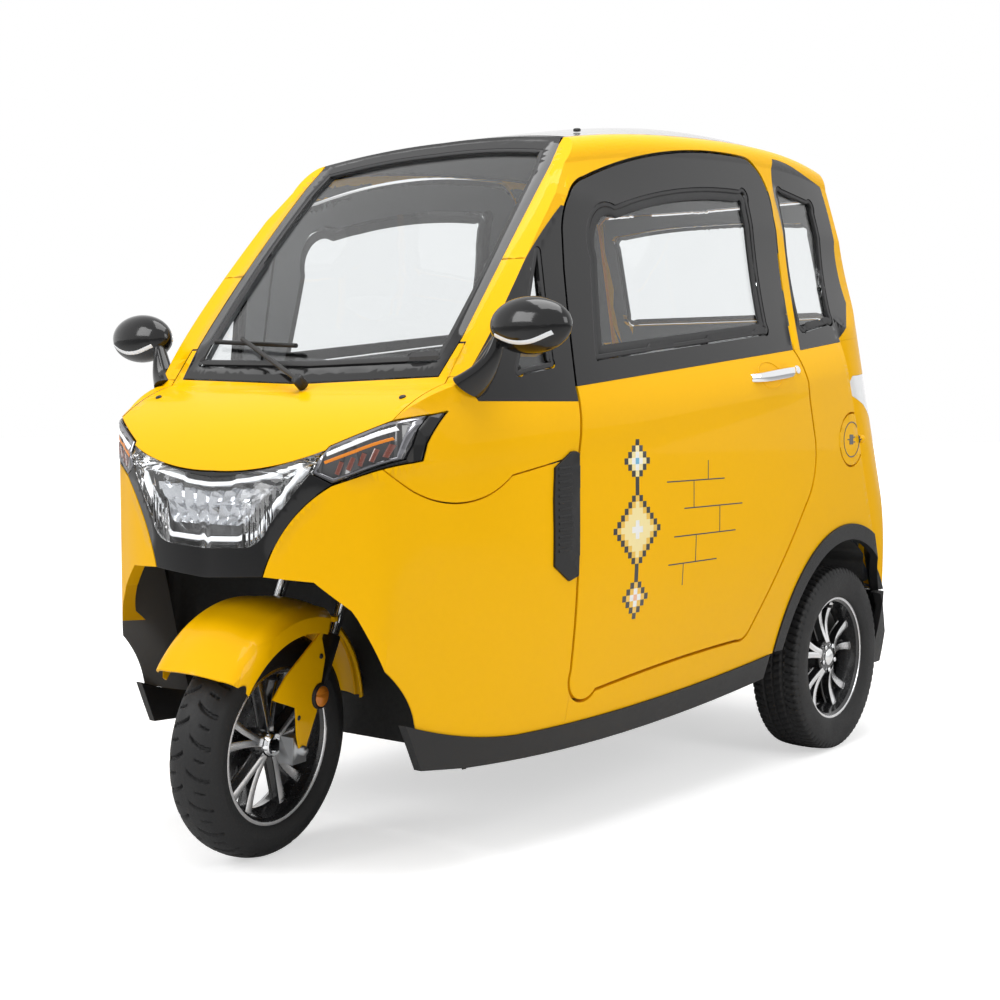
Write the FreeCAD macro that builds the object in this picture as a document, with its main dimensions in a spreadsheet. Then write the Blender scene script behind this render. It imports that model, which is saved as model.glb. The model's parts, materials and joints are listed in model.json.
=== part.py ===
"""Enclosed electric tricycle: one steered front wheel, two rear wheels, a hollow two-seat cabin.

Frame: millimetres, +Z up, the front of the vehicle looks along -Y, its left side is +X.
The origin lies on the floor, midway between the front tyre's nose and the rear bumper.
The body panels are cut from one closed outer form and its inner form, so that neighbours
meet at even gaps. The front wheel stands turned a little to the left, as when parked.
"""

import FreeCAD
import Part
import Sketcher
import math
import os
import re
from FreeCAD import Placement, Rotation, Vector

# Driving dimensions: alias, value
SIZES = [
    # overall
    ("overall_length", 2246),
    ("wheel_base", 1650),
    ("rear_track", 860),
    ("rest_steer_angle", 8.6),
    ("rake_angle", 25),
    ("steer_offset", 59),
    ("front_lift", 0.2),
    # tyres, rims and brakes
    ("front_tyre_radius", 236),
    ("front_tyre_width", 116),
    ("rear_tyre_radius", 247),
    ("rear_tyre_width", 136),
    ("bead_radius", 153),
    ("flange_radius", 167),
    ("flange_thickness", 7),
    ("front_rim_width", 92),
    ("rear_rim_width", 108),
    ("rim_wall", 6),
    ("front_hub_radius", 29),
    ("rear_hub_radius", 46),
    ("spoke_thickness", 17),
    ("disc_radius", 98),
    ("disc_thickness", 4),
    ("axle_radius", 10),
    ("bearing_gap", 0.3),
    # body form
    ("shell_wall", 28),
    ("glass_inset", 9),
    ("glass_thickness", 5),
    ("glass_gap", 0.3),
    ("trim_rise", 5),
    ("panel_gap", 3),
    ("seat_gap", 0.3),
    ("door_gap", 7),
    ("gate_gap", 8),
    ("flap_gap", 5),
    ("belt_height", 1012),
    ("belt_rise", 0.105),
    ("ridge_height", 919),
    ("ridge_rise", 0.122),
    # frame, axle and suspension
    ("fork_half_spacing", 82),
    ("fork_tube_radius", 13),
    ("fork_lower_radius", 18),
    ("fork_trail", 18),
    ("yoke_height", 568),
    ("yoke_thickness", 26),
    ("column_radius", 15),
    ("head_tube_radius", 26),
    ("head_tube_bottom", 592),
    ("head_tube_top", 740),
    ("rail_width", 40),
    ("rail_height", 50),
    ("rail_half_spacing", 210),
    ("rail_bottom", 232),
    ("floor_thickness", 6),
    ("axle_tube_radius", 28),
    ("motor_radius", 85),
    ("motor_length", 220),
    ("drum_radius", 88),
    # cabin
    ("seat_width", 440),
    ("seat_depth", 410),
    ("seat_height", 650),
    ("cushion_thickness", 90),
    ("driver_seat_rear", 330),
    ("bench_width", 660),
    ("bench_rear", 935),
    ("battery_width", 380),
    ("battery_height", 230),
    ("grip_height", 1000),
    ("grip_radius", 16),
    ("bar_radius", 11),
    ("bar_half_span", 285),
    ("flap_radius", 68),
    ("flap_height", 833),
    ("plate_hole_spacing", 210),
    ("plate_hole_radius", 3.5),
    ("fender_radius", 288),
    ("fender_wall", 4),
    ("fender_half_width", 106),
    ("tail_half_width", 60),
    ("liner_wall", 4),
    ("liner_gap", 4),
    ("damper_inset", 158),
    ("damper_radius", 34),
]

doc = FreeCAD.newDocument("EnclosedTricycle")
sheet = doc.addObject("Spreadsheet::Sheet", "Sizes")
for row, (alias, value) in enumerate(SIZES, start=1):
    sheet.set(f"A{row}", alias)
    sheet.set(f"B{row}", str(value))
    sheet.setAlias(f"B{row}", alias)
doc.recompute()
probe = doc.addObject("App::FeaturePython", "Probe")
NODES = []


def linked(expression):
    """Write the sheet's name before every alias of an expression."""
    return re.sub(r"\b[a-z]+(?:_[a-z0-9]+)+\b", lambda m: "Sizes." + m.group(0), expression)


def num(expression):
    """The value of an expression of the sheet's aliases."""
    value = probe.evalExpression(linked(expression))
    return float(getattr(value, "Value", value))


# Places worked out from the driving dimensions
FRONT_AXLE_Y = num("-overall_length/2 + front_tyre_radius")
REAR_AXLE_Y = FRONT_AXLE_Y + num("wheel_base")
FRONT_AXLE_Z = num("front_tyre_radius")
REAR_AXLE_Z = num("rear_tyre_radius")
RAKE = math.radians(num("rake_angle"))
STEER_AXIS = Vector(0, math.sin(RAKE), math.cos(RAKE))
STEER_POINT = Vector(0, FRONT_AXLE_Y + num("steer_offset"), FRONT_AXLE_Z)
WALL = num("shell_wall")
REACH = 700


def axis_y(z):
    """Where the steering axis passes a height."""
    return STEER_POINT.y + (z - STEER_POINT.z) * math.tan(RAKE)


def belt(y):
    """Height of the belt line, where paint meets the dark window frames."""
    return num("belt_height") + num("belt_rise") * y


def ridge(y):
    """Height of the shoulder crease along the side."""
    return num("ridge_height") + num("ridge_rise") * y


def wire(steps, place):
    """A closed wire from steps of two numbers for a line's end or four for an arc's middle and end."""
    start = place(*steps[0])
    at = start
    edges = []
    for step in steps[1:]:
        end = place(*step[-2:])
        if len(step) == 4:
            edges.append(Part.Arc(at, place(*step[:2]), end).toShape())
        else:
            edges.append(Part.makeLine(at, end))
        at = end
    if (at - start).Length > 0.001:
        edges.append(Part.makeLine(at, start))
    return Part.Wire(edges)


def side_place(y, z):
    return Vector(0, y, z)


def front_place(x, z):
    return Vector(x, 0, z)


def plan_place(x, y):
    return Vector(x, y, 0)


def grown(face, by, join=0):
    """A flat face made larger, or smaller, all round."""
    return face.makeOffset2D(by, join) if by else face


def run_side(steps, by=0, inner=150, outer=REACH):
    """An outline seen from the side, run through the left side's wall."""
    solid = grown(Part.Face(wire(steps, side_place)), by).extrude(Vector(outer - inner, 0, 0))
    solid.translate(Vector(inner, 0, 0))
    return solid


def run_front(steps, near, far, by=0):
    """An outline seen from the front, run from one y to another."""
    solid = grown(Part.Face(wire(steps, front_place)), by).extrude(Vector(0, far - near, 0))
    solid.translate(Vector(0, near, 0))
    return solid


def run_plan(steps, low, high, by=0, slope=0):
    """An outline seen from above, run from one z to another, leaning along y where slope isn't 0."""
    face = grown(Part.Face(wire(steps, plan_place)), by)
    solid = face.extrude(Vector(0, slope * (high - low), high - low))
    solid.translate(Vector(0, 0, low))
    return solid


def both_halves(half):
    """A closed outline from its right half, given from the middle line round to the middle line."""
    back = []
    for before, step in zip(half[-2::-1], half[:0:-1]):
        end = before[-2:]
        back.append((-step[0], step[1], -end[0], end[1]) if len(step) == 4 else (-end[0], end[1]))
    return list(half) + back


def mirrored(shape):
    return shape.mirror(Vector(0, 0, 0), Vector(1, 0, 0))


def pair(shape):
    """A left-hand shape and its right-hand twin."""
    return Part.makeCompound([shape, mirrored(shape)])


def whole(half):
    """One piece from its left half, which ends on the middle plane."""
    return solids(half.fuse(mirrored(half)).removeSplitter())


def solids(shape, least=400):
    """Only the solids of a result that are more than slivers."""
    kept = [s for s in shape.Solids if s.Volume > least]
    return kept[0] if len(kept) == 1 else Part.makeCompound(kept)


# Cross-sections of the body form. Columns: y, half widths at the sill, at 400 mm height, at the
# bulge, at the shoulder crease, at the belt, at the waist, above it and at the roof edge, then
# the heights of the roof edge and of the roof's crown.
STATIONS = [
    (-1130, 345, 358, 370, 374, 364, 356, 352, 345, 1400, 1440),
    (-800, 402, 420, 436, 439, 428, 436, 421, 404, 1430, 1462),
    (-448, 448, 482, 498, 500, 485, 447, 429, 405, 1474, 1500),
    (-200, 458, 494, 510, 512, 489, 450, 430, 404, 1518, 1546),
    (200, 464, 505, 522, 524, 494, 452, 431, 403, 1562, 1618),
    (500, 466, 510, 528, 528, 497, 452, 430, 402, 1577, 1640),
    (850, 466, 508, 527, 525, 496, 450, 428, 400, 1552, 1598),
    (1140, 460, 500, 515, 512, 486, 441, 418, 390, 1490, 1534),
]
BODY_FOOT = 190
LOW_HEIGHT = 400
BULGE_HEIGHT = 670
CREASE_DROP = 42
WAIST_HEIGHT = 1209
UPPER_HEIGHT = 1366

# The body's profile on the middle line: nose, bonnet, windshield, roof limit, tail
PROFILE = [
    (-1100, -200), (-1100, 560), (-1004, 796), (-930, 882, -762, 970), (-537, 1252, -300, 1516),
    (-160, 1690), (905, 1690), (905, 1560), (868, 1508), (962, 1286, 1042, 1052), (1082, 1034, 1106, 994),
    (1150, 850), (1150, -200),
]
# The lower body seen from above, half an outline from the nose to the tail
PLAN_HALF = [
    (0, -1027), (190, -1010, 340, -950), (388, -918, 412, -870), (620, -480),
    (620, 800), (520, 950), (500, 1052, 420, 1093), (220, 1116, 0, 1123),
]
# The windows' storey seen from above at the height where the tail leans away
UPPER_LEVEL = 1052
TAIL_LEAN = -0.378
UPPER_HALF = [(0, -1300), (620, -1300), (620, 600), (468, 800), (452, 962, 345, 1040), (0, 1110)]


def section(station, inset):
    """Half of one closed cross-section of the body form, inset from its outer skin."""
    y, sill, low, bulge, crease, belt_x, waist, upper, roof, edge_z, crown_z = station
    widths = [w - inset for w in (sill, low, bulge, crease, belt_x, waist, upper, roof)]
    sill, low, bulge, crease, belt_x, waist, upper, roof = widths
    edge_z -= inset
    crown_z -= inset
    shoulder = (crease + belt_x) / 2 + 5
    steps = [
        (0, BODY_FOOT - inset), (sill, BODY_FOOT - inset), (low, LOW_HEIGHT, bulge, BULGE_HEIGHT),
        (bulge - 2, ridge(y) - CREASE_DROP), (crease, ridge(y)),
        (shoulder, (ridge(y) + belt(y)) / 2, belt_x, belt(y)),
        (waist, WAIST_HEIGHT, upper, UPPER_HEIGHT), (roof, edge_z - 50),
        (roof - 9, edge_z - 14, roof - 40, edge_z + 4), (roof / 2, (edge_z + 4 + 3 * crown_z) / 4, 0, crown_z),
    ]
    return wire(steps, lambda x, z: Vector(x, y, z))


FORMS = {}


def body_form(inset):
    """The left half of the closed form inside the outer skin by an inset."""
    if inset not in FORMS:
        form = Part.makeLoft([section(s, inset) for s in STATIONS], True, False)
        profile = grown(Part.Face(wire(PROFILE, side_place)), -inset).extrude(Vector(REACH, 0, 0))
        plan = run_plan(both_halves(PLAN_HALF), 0, 2000, -inset)
        upper = run_plan(both_halves(UPPER_HALF), 0, 2000, -inset, TAIL_LEAN)
        upper.translate(Vector(0, -TAIL_LEAN * UPPER_LEVEL, 0))
        FORMS[inset] = form.common(profile).common(plan).common(upper)
    return FORMS[inset]


OUTER = body_form(0)
INNER = body_form(WALL)
GLASS_FROM = num("glass_inset")
GLASS_TO = GLASS_FROM + num("glass_thickness")
PROUD = num("trim_rise")
SHELL = OUTER.copy().cut(INNER.copy())
PANE = body_form(GLASS_FROM).copy().cut(body_form(GLASS_TO).copy())
TRIM = body_form(-PROUD).copy().cut(body_form(GLASS_TO).copy())
LINING = body_form(WALL + num("bearing_gap"))

# Outlines seen from the side (y, z)
BELT_FRONT, BELT_REAR = -1200, 1300
ABOVE_BELT = [(BELT_FRONT, belt(BELT_FRONT)), (BELT_REAR, belt(BELT_REAR)), (BELT_REAR, 1800), (BELT_FRONT, 1800)]
DOOR = [
    (-450, 372), (-447, 823), (-442, 960), (-434, 1209), (-427, 1292), (-392, 1366, -316, 1413),
    (20, 1505, 387, 1538), (471, 1503, 507, 1405), (513, 1215, 487, 1063), (545, 864),
    (545, 734, 503, 672), (263, 383), (240, 364, 204, 360), (-128, 343, -358, 321), (-440, 322, -450, 372),
]
DOOR_WINDOW = [
    (-361, 1030), (-360, 1022, -350, 1021), (365, 1096), (386, 1100, 390, 1125), (396, 1300, 388, 1425),
    (383, 1455, 350, 1454), (20, 1420, -220, 1362), (-318, 1335, -334, 1240),
]
VENT = [(-756, 976), (-640, 1137, -424, 1342), (-400, 1342), (-400, 935), (-720, 936)]
VENT_WINDOW = [(-622, 1003), (-618, 986, -600, 988), (-512, 1002), (-503, 1006, -503, 1020), (-507, 1236), (-516, 1250, -530, 1238)]
QUARTER = [
    (520, 1063), (552, 1200, 540, 1420), (530, 1500, 545, 1553), (610, 1550, 678, 1538), (811, 1509),
    (835, 1430, 844, 1341), (871, 1200), (835, 1150, 783, 1094),
]
QUARTER_WINDOW = [
    (556, 1140), (557, 1112, 585, 1112), (720, 1134), (750, 1140, 754, 1165), (764, 1300, 748, 1430),
    (742, 1462, 712, 1464), (575, 1480), (548, 1480, 545, 1450), (557, 1300, 556, 1140),
]
FRONT_SEAM = [(-940, 830), (-790, 740, -640, 789), (-448, 825)]
SKIRT_ZONE = [(-1200, 100), (-1200, 400), (-878, 316), (-720, 273, -593, 259), (-300, 261, 381, 304), (420, 307), (420, 100)]
HINGE_COVER = [(-440, 579), (-440, 823), (-462, 833), (-476, 832), (-524, 800), (-528, 736), (-526, 600), (-480, 566)]
SKIRT = [
    (-878, 315.7), (-720, 272.7, -593, 258.7), (-300, 260.7, 381, 303.7), (372, 244), (-250, 205, -724, 211), (-838, 222),
]
ARCH_RADIUS_GAP = 66
# Outlines seen from the front, right half (x, z)
ARCH_HALF = [(0, 588), (154, 598), (262, 592), (330, 540), (376, 450, 398, 316), (402, 100), (0, 100)]
FACE_HALF = [(0, 580), (154, 596), (180, 655, 296, 777), (420, 823), (432, 916), (215, 822, 0, 797)]
HEADLAMP_HALF = [(0, 646), (108, 652), (140, 662, 170, 697), (262, 806), (274, 842), (140, 804, 0, 787)]
SIGNAL = [(258, 800), (282, 850), (420, 910), (406, 826), (298, 780)]
SHIELD_HALF = [(0, 972), (374, 984), (385, 1060), (382, 1200, 366, 1440), (352, 1506), (180, 1530, 0, 1536)]
SHIELD_GLASS_HALF = [(0, 1004), (352, 1012), (356, 1060), (356, 1200, 338, 1430), (320, 1478), (160, 1496, 0, 1500)]
BACK_GLASS_HALF = [(0, 1165), (300, 1165), (328, 1167, 332, 1195), (322, 1390), (316, 1420, 290, 1425), (150, 1436, 0, 1438)]
GATE_HALF = [(0, 640), (350, 640), (378, 644, 382, 670), (384, 1000), (352, 1460), (330, 1478), (0, 1478)]
TAIL_LAMP = [(836, 960), (862, 1002), (1200, 1030), (1200, 880), (1000, 885), (930, 925)]
TAIL_LAMP_INNER = 395
ROOF_HALF = [(0, -420), (356, -420), (356, 860), (0, 868)]
BROW_HALF = [(0, 797), (215, 822, 432, 916), (440, 1200), (0, 1200)]
BONNET_HALF = [(0, -1200), (394, -1200), (394, -900), (400, -780), (400, -700), (0, -700)]


def feature(label, shape):
    """A node whose form neither sketches nor primitives give."""
    node = doc.addObject("Part::Feature", label)
    node.Shape = shape
    node.Label = label
    NODES.append(node)
    return node


def box(name, size, corner):
    """A block bound to the sheet, at its low corner."""
    block = doc.addObject("Part::Box", name)
    for axis, text in zip(("Length", "Width", "Height"), size):
        block.setExpression(axis, linked(text))
    for axis, text in zip("xyz", corner):
        block.setExpression(f"Placement.Base.{axis}", linked(text))
    return block


def rod(name, start, end, radius):
    """A round bar between two points, its radius bound to the sheet."""
    bar = doc.addObject("Part::Cylinder", name)
    bar.setExpression("Radius", linked(radius))
    bar.Height = (end - start).Length
    bar.Placement = Placement(start, Rotation(Vector(0, 0, 1), end - start))
    return bar


def joined(label, parts):
    """One node fused from bound primitives."""
    node = doc.addObject("Part::MultiFuse", label)
    node.Shapes = parts
    node.Label = label
    NODES.append(node)
    return node


def plane(body, role):
    return next(o for o in body.Origin.OriginFeatures if o.Role == role)


def sketch(body, name, role, corners):
    """A closed polygon sketch, every corner bound to the sheet."""
    profile = body.newObject("Sketcher::SketchObject", name)
    profile.AttachmentSupport = [(plane(body, role), "")]
    profile.MapMode = "FlatFace"
    points = [Vector(num(a), num(b), 0) for a, b in corners]
    count = len(points)
    for i in range(count):
        profile.addGeometry(Part.LineSegment(points[i], points[(i + 1) % count]), False)
    for i in range(count):
        profile.addConstraint(Sketcher.Constraint("Coincident", i, 2, (i + 1) % count, 1))
    for i, pair_of in enumerate(corners):
        for kind, value, text in (("DistanceX", points[i].x, pair_of[0]), ("DistanceY", points[i].y, pair_of[1])):
            k = profile.addConstraint(Sketcher.Constraint(kind, -1, 1, i, 1, value))
            profile.setExpression(f"Constraints[{k}]", linked(text))
    return profile


def ring_profile(half_width):
    """A rim's ring as expression pairs: the wall under the tyre with a lip at each side."""
    return [
        (f"-({half_width})", "flange_radius"), (f"-({half_width}) + flange_thickness", "flange_radius"),
        (f"-({half_width}) + flange_thickness", "bead_radius"),
        (f"({half_width}) - flange_thickness", "bead_radius"),
        (f"({half_width}) - flange_thickness", "flange_radius"), (f"({half_width})", "flange_radius"),
        (f"({half_width})", "bead_radius - rim_wall"), (f"-({half_width})", "bead_radius - rim_wall"),
    ]


def rim(label, half_width, hub_radius, hub_half, place):
    """A cast rim: outer ring, hub with its bore, and five forked spokes by a polar pattern."""
    body = doc.addObject("PartDesign::Body", label)
    ring = sketch(body, "RingOutline", "XZ_Plane", ring_profile(half_width))
    turned = body.newObject("PartDesign::Revolution", "Ring")
    turned.Profile = ring
    turned.ReferenceAxis = (ring, ["H_Axis"])
    turned.Angle = 360
    hub = sketch(body, "HubOutline", "XZ_Plane", [
        (f"-({hub_half})", "axle_radius + bearing_gap"), (f"({hub_half})", "axle_radius + bearing_gap"),
        (f"({hub_half})", f"{hub_radius} * 0.7"), (f"({hub_half}) - 9", hub_radius),
        (f"-({hub_half}) + 9", hub_radius), (f"-({hub_half})", f"{hub_radius} * 0.7"),
    ])
    core = body.newObject("PartDesign::Revolution", "Hub")
    core.Profile = hub
    core.ReferenceAxis = (hub, ["H_Axis"])
    core.Angle = 360
    fork = sketch(body, "SpokeOutline", "YZ_Plane", [
        ("-19", f"{hub_radius} - 4"), ("-47", "bead_radius - 12"), ("-25", "bead_radius - 5"), ("-4", f"{hub_radius} + 26"),
        ("4", f"{hub_radius} + 26"), ("25", "bead_radius - 5"), ("47", "bead_radius - 12"), ("19", f"{hub_radius} - 4"),
    ])
    spoke = body.newObject("PartDesign::Pad", "Spoke")
    spoke.Profile = fork
    spoke.setExpression("Length", linked("spoke_thickness"))
    spoke.SideType = "Symmetric"
    wheel = body.newObject("PartDesign::PolarPattern", "Spokes")
    wheel.Originals = [spoke]
    wheel.Axis = (plane(body, "X_Axis"), [""])
    wheel.Angle = 360
    wheel.Occurrences = 5
    body.Tip = wheel
    body.Label = label
    body.Placement = place
    NODES.append(body)
    return body


def tyre(label, radius, width, half_width, place):
    """A tyre: sidewalls that bulge past the rim's lips and a tread with a crown."""
    clear = num("seat_gap")
    outer, half = num(radius), num(width) / 2
    seat = num(half_width) - num("flange_thickness") - clear
    lip = num("flange_radius") + clear
    bead = num("bead_radius") + clear
    shoulder, drop = half * 0.84, half * 0.26
    side = [(seat, bead), (seat, lip), (half, lip + (outer - lip) * 0.42), (shoulder, outer - drop), (half * 0.5, outer - drop * 0.22)]
    steps = side + [(0, outer)] + [(-x, r) for x, r in reversed(side)]
    ring = Part.Face(wire(steps, front_place)).revolve(Vector(0, 0, 0), Vector(1, 0, 0), 360)
    node = feature(label, ring)
    node.Placement = place
    return node


# Where the front wheel and fork stand: turned about the raked steering axis
TURN = Rotation(STEER_AXIS, num("rest_steer_angle"))


def steered(place):
    """A placement of the straight-ahead vehicle, carried round by the parked steering angle."""
    lift = Placement(Vector(0, 0, num("front_lift")), Rotation())
    swing = Placement(STEER_POINT, Rotation()) * Placement(Vector(), TURN) * Placement(-STEER_POINT, Rotation())
    return lift * swing * place


def on_steering(shape):
    """A straight-ahead shape turned to the parked steering angle."""
    turned = shape.copy()
    turned.Placement = steered(shape.Placement)
    return turned


def make_front_wheel():
    place = steered(Placement(Vector(0, FRONT_AXLE_Y, FRONT_AXLE_Z), Rotation()))
    tyre("front_tyre", "front_tyre_radius", "front_tyre_width", "front_rim_width/2", place)
    rim("front_rim", "front_rim_width/2", "front_hub_radius", "50", place)
    disc = Part.makeCylinder(num("disc_radius"), num("disc_thickness"), Vector(-54.3, 0, 0), Vector(1, 0, 0))
    disc = disc.cut(Part.makeCylinder(60, 20, Vector(-60, 0, 0), Vector(1, 0, 0)))
    spider = Part.makeCylinder(64, 3.6, Vector(-54.1, 0, 0), Vector(1, 0, 0))
    spider = spider.cut(Part.makeCylinder(num("axle_radius + bearing_gap") + 6, 20, Vector(-60, 0, 0), Vector(1, 0, 0)))
    node = feature("front_brake_disc", disc.fuse(spider))
    node.Placement = place


def make_rear_wheels():
    for side, sign in (("left", 1), ("right", -1)):
        place = Placement(Vector(sign * num("rear_track") / 2, REAR_AXLE_Y, REAR_AXLE_Z),
                          Rotation(Vector(0, 0, 1), 0 if sign > 0 else 180))
        tyre(f"rear_tyre_{side}", "rear_tyre_radius", "rear_tyre_width", "rear_rim_width/2", place)
        rim(f"rear_rim_{side}", "rear_rim_width/2", "rear_hub_radius", "34", place)


def leg_point(x, z):
    """A point of a fork leg, which runs beside the steering axis, a little behind the wheel's axle."""
    return Vector(x, FRONT_AXLE_Y + num("fork_trail") + (z - FRONT_AXLE_Z) * math.tan(RAKE), z)


def make_fork():
    half = num("fork_half_spacing")
    pieces = []
    yoke_z = num("yoke_height")
    axle = num("axle_radius")
    for x in (half, -half):
        low, mid, high = leg_point(x, 226), leg_point(x, 455), leg_point(x, yoke_z + 10)
        pieces.append(Part.makeCylinder(num("fork_lower_radius"), (mid - low).Length, low, mid - low))
        pieces.append(Part.makeCylinder(num("fork_tube_radius"), (high - mid).Length, mid, high - mid))
        clamp = Part.makeBox(34, 46, 56, Vector(x - 17, FRONT_AXLE_Y - 22, 208))
        pieces.append(clamp)
    span = half + num("fork_lower_radius") + 14
    pieces.append(Part.makeCylinder(axle, 2 * span, Vector(-span, FRONT_AXLE_Y, FRONT_AXLE_Z), Vector(1, 0, 0)))
    middle = Vector(0, axis_y(yoke_z), yoke_z)
    yoke = Part.makeBox(2 * half + 44, 96, num("yoke_thickness"), Vector(-half - 22, -62, -num("yoke_thickness")))
    yoke.Placement = Placement(middle, Rotation(Vector(1, 0, 0), -num("rake_angle"))) * yoke.Placement
    pieces.append(yoke)
    top = Vector(0, axis_y(num("grip_height") - 30), num("grip_height") - 30)
    pieces.append(Part.makeCylinder(num("column_radius"), (top - middle).Length, middle, top - middle))
    caliper = Part.makeBox(44, 62, 76, Vector(-78, FRONT_AXLE_Y + 52, FRONT_AXLE_Z + 4))
    slot = Part.makeBox(14, 80, 200, Vector(-59, FRONT_AXLE_Y + 20, FRONT_AXLE_Z - 60))
    pieces.append(caliper.cut(slot))
    fork = pieces[0].multiFuse(pieces[1:])
    feature("front_fork", on_steering(fork))


def make_handlebar():
    height = num("grip_height")
    stem_y = axis_y(height - 40)
    half = num("bar_half_span")
    radius = num("bar_radius")
    route = [Vector(0, stem_y, height - 40), Vector(-90, stem_y, height - 30), Vector(-170, stem_y + 40, height), Vector(-half, stem_y + 84, height)]
    bars = []
    for mirror in (1, -1):
        points = [Vector(p.x * mirror, p.y, p.z) for p in route]
        for a, b in zip(points, points[1:]):
            bars.append(Part.makeCylinder(radius, (b - a).Length, a, b - a))
            bars.append(Part.makeSphere(radius, b))
        grip_end = points[-1] + (points[-1] - points[-2]).normalize() * 34
        grip_start = points[-1] - (points[-1] - points[-2]).normalize() * 84
        bars.append(Part.makeCylinder(num("grip_radius"), (grip_end - grip_start).Length, grip_start, grip_end - grip_start))
    clamp = Part.makeCylinder(num("column_radius") + 7, 46, Vector(0, axis_y(height - 62), height - 62), STEER_AXIS)
    column = Part.makeCylinder(num("column_radius") + 0.2, 200, Vector(0, axis_y(height - 150), height - 150), STEER_AXIS)
    pod = Part.makeBox(150, 60, 40, Vector(-75, stem_y - 50, height - 22))
    bar = bars[0].multiFuse(bars[1:] + [clamp, pod]).cut(column)
    feature("handlebar", on_steering(solids(bar)))


def fender_wall(radius, half, drop):
    """The fender's section as a thin arch: a crown with rolled sides."""
    wall = num("fender_wall")
    steps = [
        (-half, radius - drop), (-half * 0.93, radius - drop * 0.28, -half * 0.62, radius - 9), (0, radius, half * 0.62, radius - 9),
        (half * 0.93, radius - drop * 0.28, half, radius - drop), (half - wall, radius - drop),
        (half * 0.93 - wall, radius - drop * 0.28 - wall, half * 0.62 - 1, radius - 9 - wall),
        (0, radius - wall, -half * 0.62 + 1, radius - 9 - wall),
        (-half * 0.93 + wall, radius - drop * 0.28 - wall, -half + wall, radius - drop),
    ]
    return Part.Face(wire(steps, front_place))


def make_fender():
    centre = Vector(0, FRONT_AXLE_Y + 8, FRONT_AXLE_Z + 12)
    radius = num("fender_radius")
    wide = fender_wall(radius, num("fender_half_width"), 62)
    tail = fender_wall(radius - 4, num("tail_half_width"), 22)
    hood = wide.revolve(Vector(), Vector(1, 0, 0), 71)
    hood.rotate(Vector(), Vector(1, 0, 0), -16)
    rear = tail.revolve(Vector(), Vector(1, 0, 0), 76)
    rear.rotate(Vector(), Vector(1, 0, 0), -80)
    nose = run_plan(both_halves([(0, -300), (34, -298, 60, -282), (98, -220, 107, -120), (107, 400), (0, 400)]), -400, 400)
    hood = hood.common(nose)
    side = num("fender_half_width")
    plate = run_side([(-70, 150), (40, 225), (58, 170), (36, 60), (2, -12), (-14, -14), (-26, 20), (-34, 80), (-110, 108)], inner=side - num("fender_wall"), outer=side)
    guard = hood.multiFuse([rear, plate, mirrored(plate)])
    guard.translate(centre)
    legs = []
    for x in (num("fork_half_spacing"), -num("fork_half_spacing")):
        low, high = leg_point(x, 226), leg_point(x, 620)
        legs.append(Part.makeCylinder(num("fork_lower_radius") + 0.4, (high - low).Length, low, high - low))
    stay = Part.makeBox(2 * side - 2 * num("fender_wall"), 12, 10, Vector(-side + num("fender_wall"), -6, -5))
    stay.translate(leg_point(0, 478) + Vector(0, -27, 14))
    axle = Part.makeCylinder(num("axle_radius") + SPLIT, 4 * side, Vector(-2 * side, FRONT_AXLE_Y, FRONT_AXLE_Z), Vector(1, 0, 0))
    guard = cut_all(guard.multiFuse([stay]), legs[0], legs[1], axle)
    feature("front_fender", on_steering(solids(guard)))
    lens = Part.makeCylinder(21, 7, Vector(side + 0.3, FRONT_AXLE_Y + 52, FRONT_AXLE_Z + 104), Vector(1, 0, 0))
    feature("fender_reflectors", on_steering(pair(lens)))


def seam_band(steps, width):
    """A thin band along an open line seen from the side, which leaves a seam's gap."""
    below = [(s[0], s[1] - width / 2) if len(s) == 2 else (s[0], s[1] - width / 2, s[2], s[3] - width / 2) for s in steps]
    above = [(s[0], s[1] + width / 2) if len(s) == 2 else (s[0], s[1] + width / 2, s[2], s[3] + width / 2) for s in steps]
    back = []
    for before, step in zip(above[-2::-1], above[:0:-1]):
        back.append((step[0], step[1], *before[-2:]) if len(step) == 4 else tuple(before[-2:]))
    return run_side(below + [above[-1][-2:]] + back)


GAP = num("panel_gap")
SPLIT = num("seat_gap")
SILL_SPLIT = -447
SILL_TOP = 400
COWL_Y = -720
DOOR_HALF = num("door_gap") / 2
GATE_HALF_GAP = num("gate_gap") / 2
ARCH_CENTRE = Vector(0, REAR_AXLE_Y - 12, REAR_AXLE_Z + 8)
ARCH_RADIUS = num("rear_tyre_radius") + ARCH_RADIUS_GAP
TRIM_WIDTH = 42
WINDOW_INNER = 340
PLATE_HALF = 150
TUB_INNER = 338
DOOR_PIN = Vector(498, -450, 0)
GATE_PIN = Vector(210, 877, 1478)
FLAP_PIN = Vector(526.5, REAR_AXLE_Y - num("flap_radius + flap_gap/2"), num("flap_height"))

door_hole = run_side(DOOR, DOOR_HALF)
arch_hole = Part.makeCylinder(ARCH_RADIUS, REACH - 300, ARCH_CENTRE + Vector(300, 0, 0), Vector(1, 0, 0))
trim_hole = Part.makeCylinder(ARCH_RADIUS + TRIM_WIDTH, REACH - 300, ARCH_CENTRE + Vector(300, 0, 0), Vector(1, 0, 0))
gate_hole = run_front(both_halves(GATE_HALF), 650, 1300, GATE_HALF_GAP)
gate_prism = run_front(both_halves(GATE_HALF), 650, 1300, -GATE_HALF_GAP)
lamp_prism = run_side(TAIL_LAMP, inner=TAIL_LAMP_INNER)
lamp_hole = run_side(TAIL_LAMP, SPLIT, inner=TAIL_LAMP_INNER - SPLIT)
face_hole = run_front(both_halves(FACE_HALF), -1300, -700, GAP / 2)
face_prism = run_front(both_halves(FACE_HALF), -1300, -700, -GAP / 2)
signal_hole = run_front(SIGNAL, -1300, -780, GAP / 2)
signal_prism = run_front(SIGNAL, -1300, -780, -GAP / 2)
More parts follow.
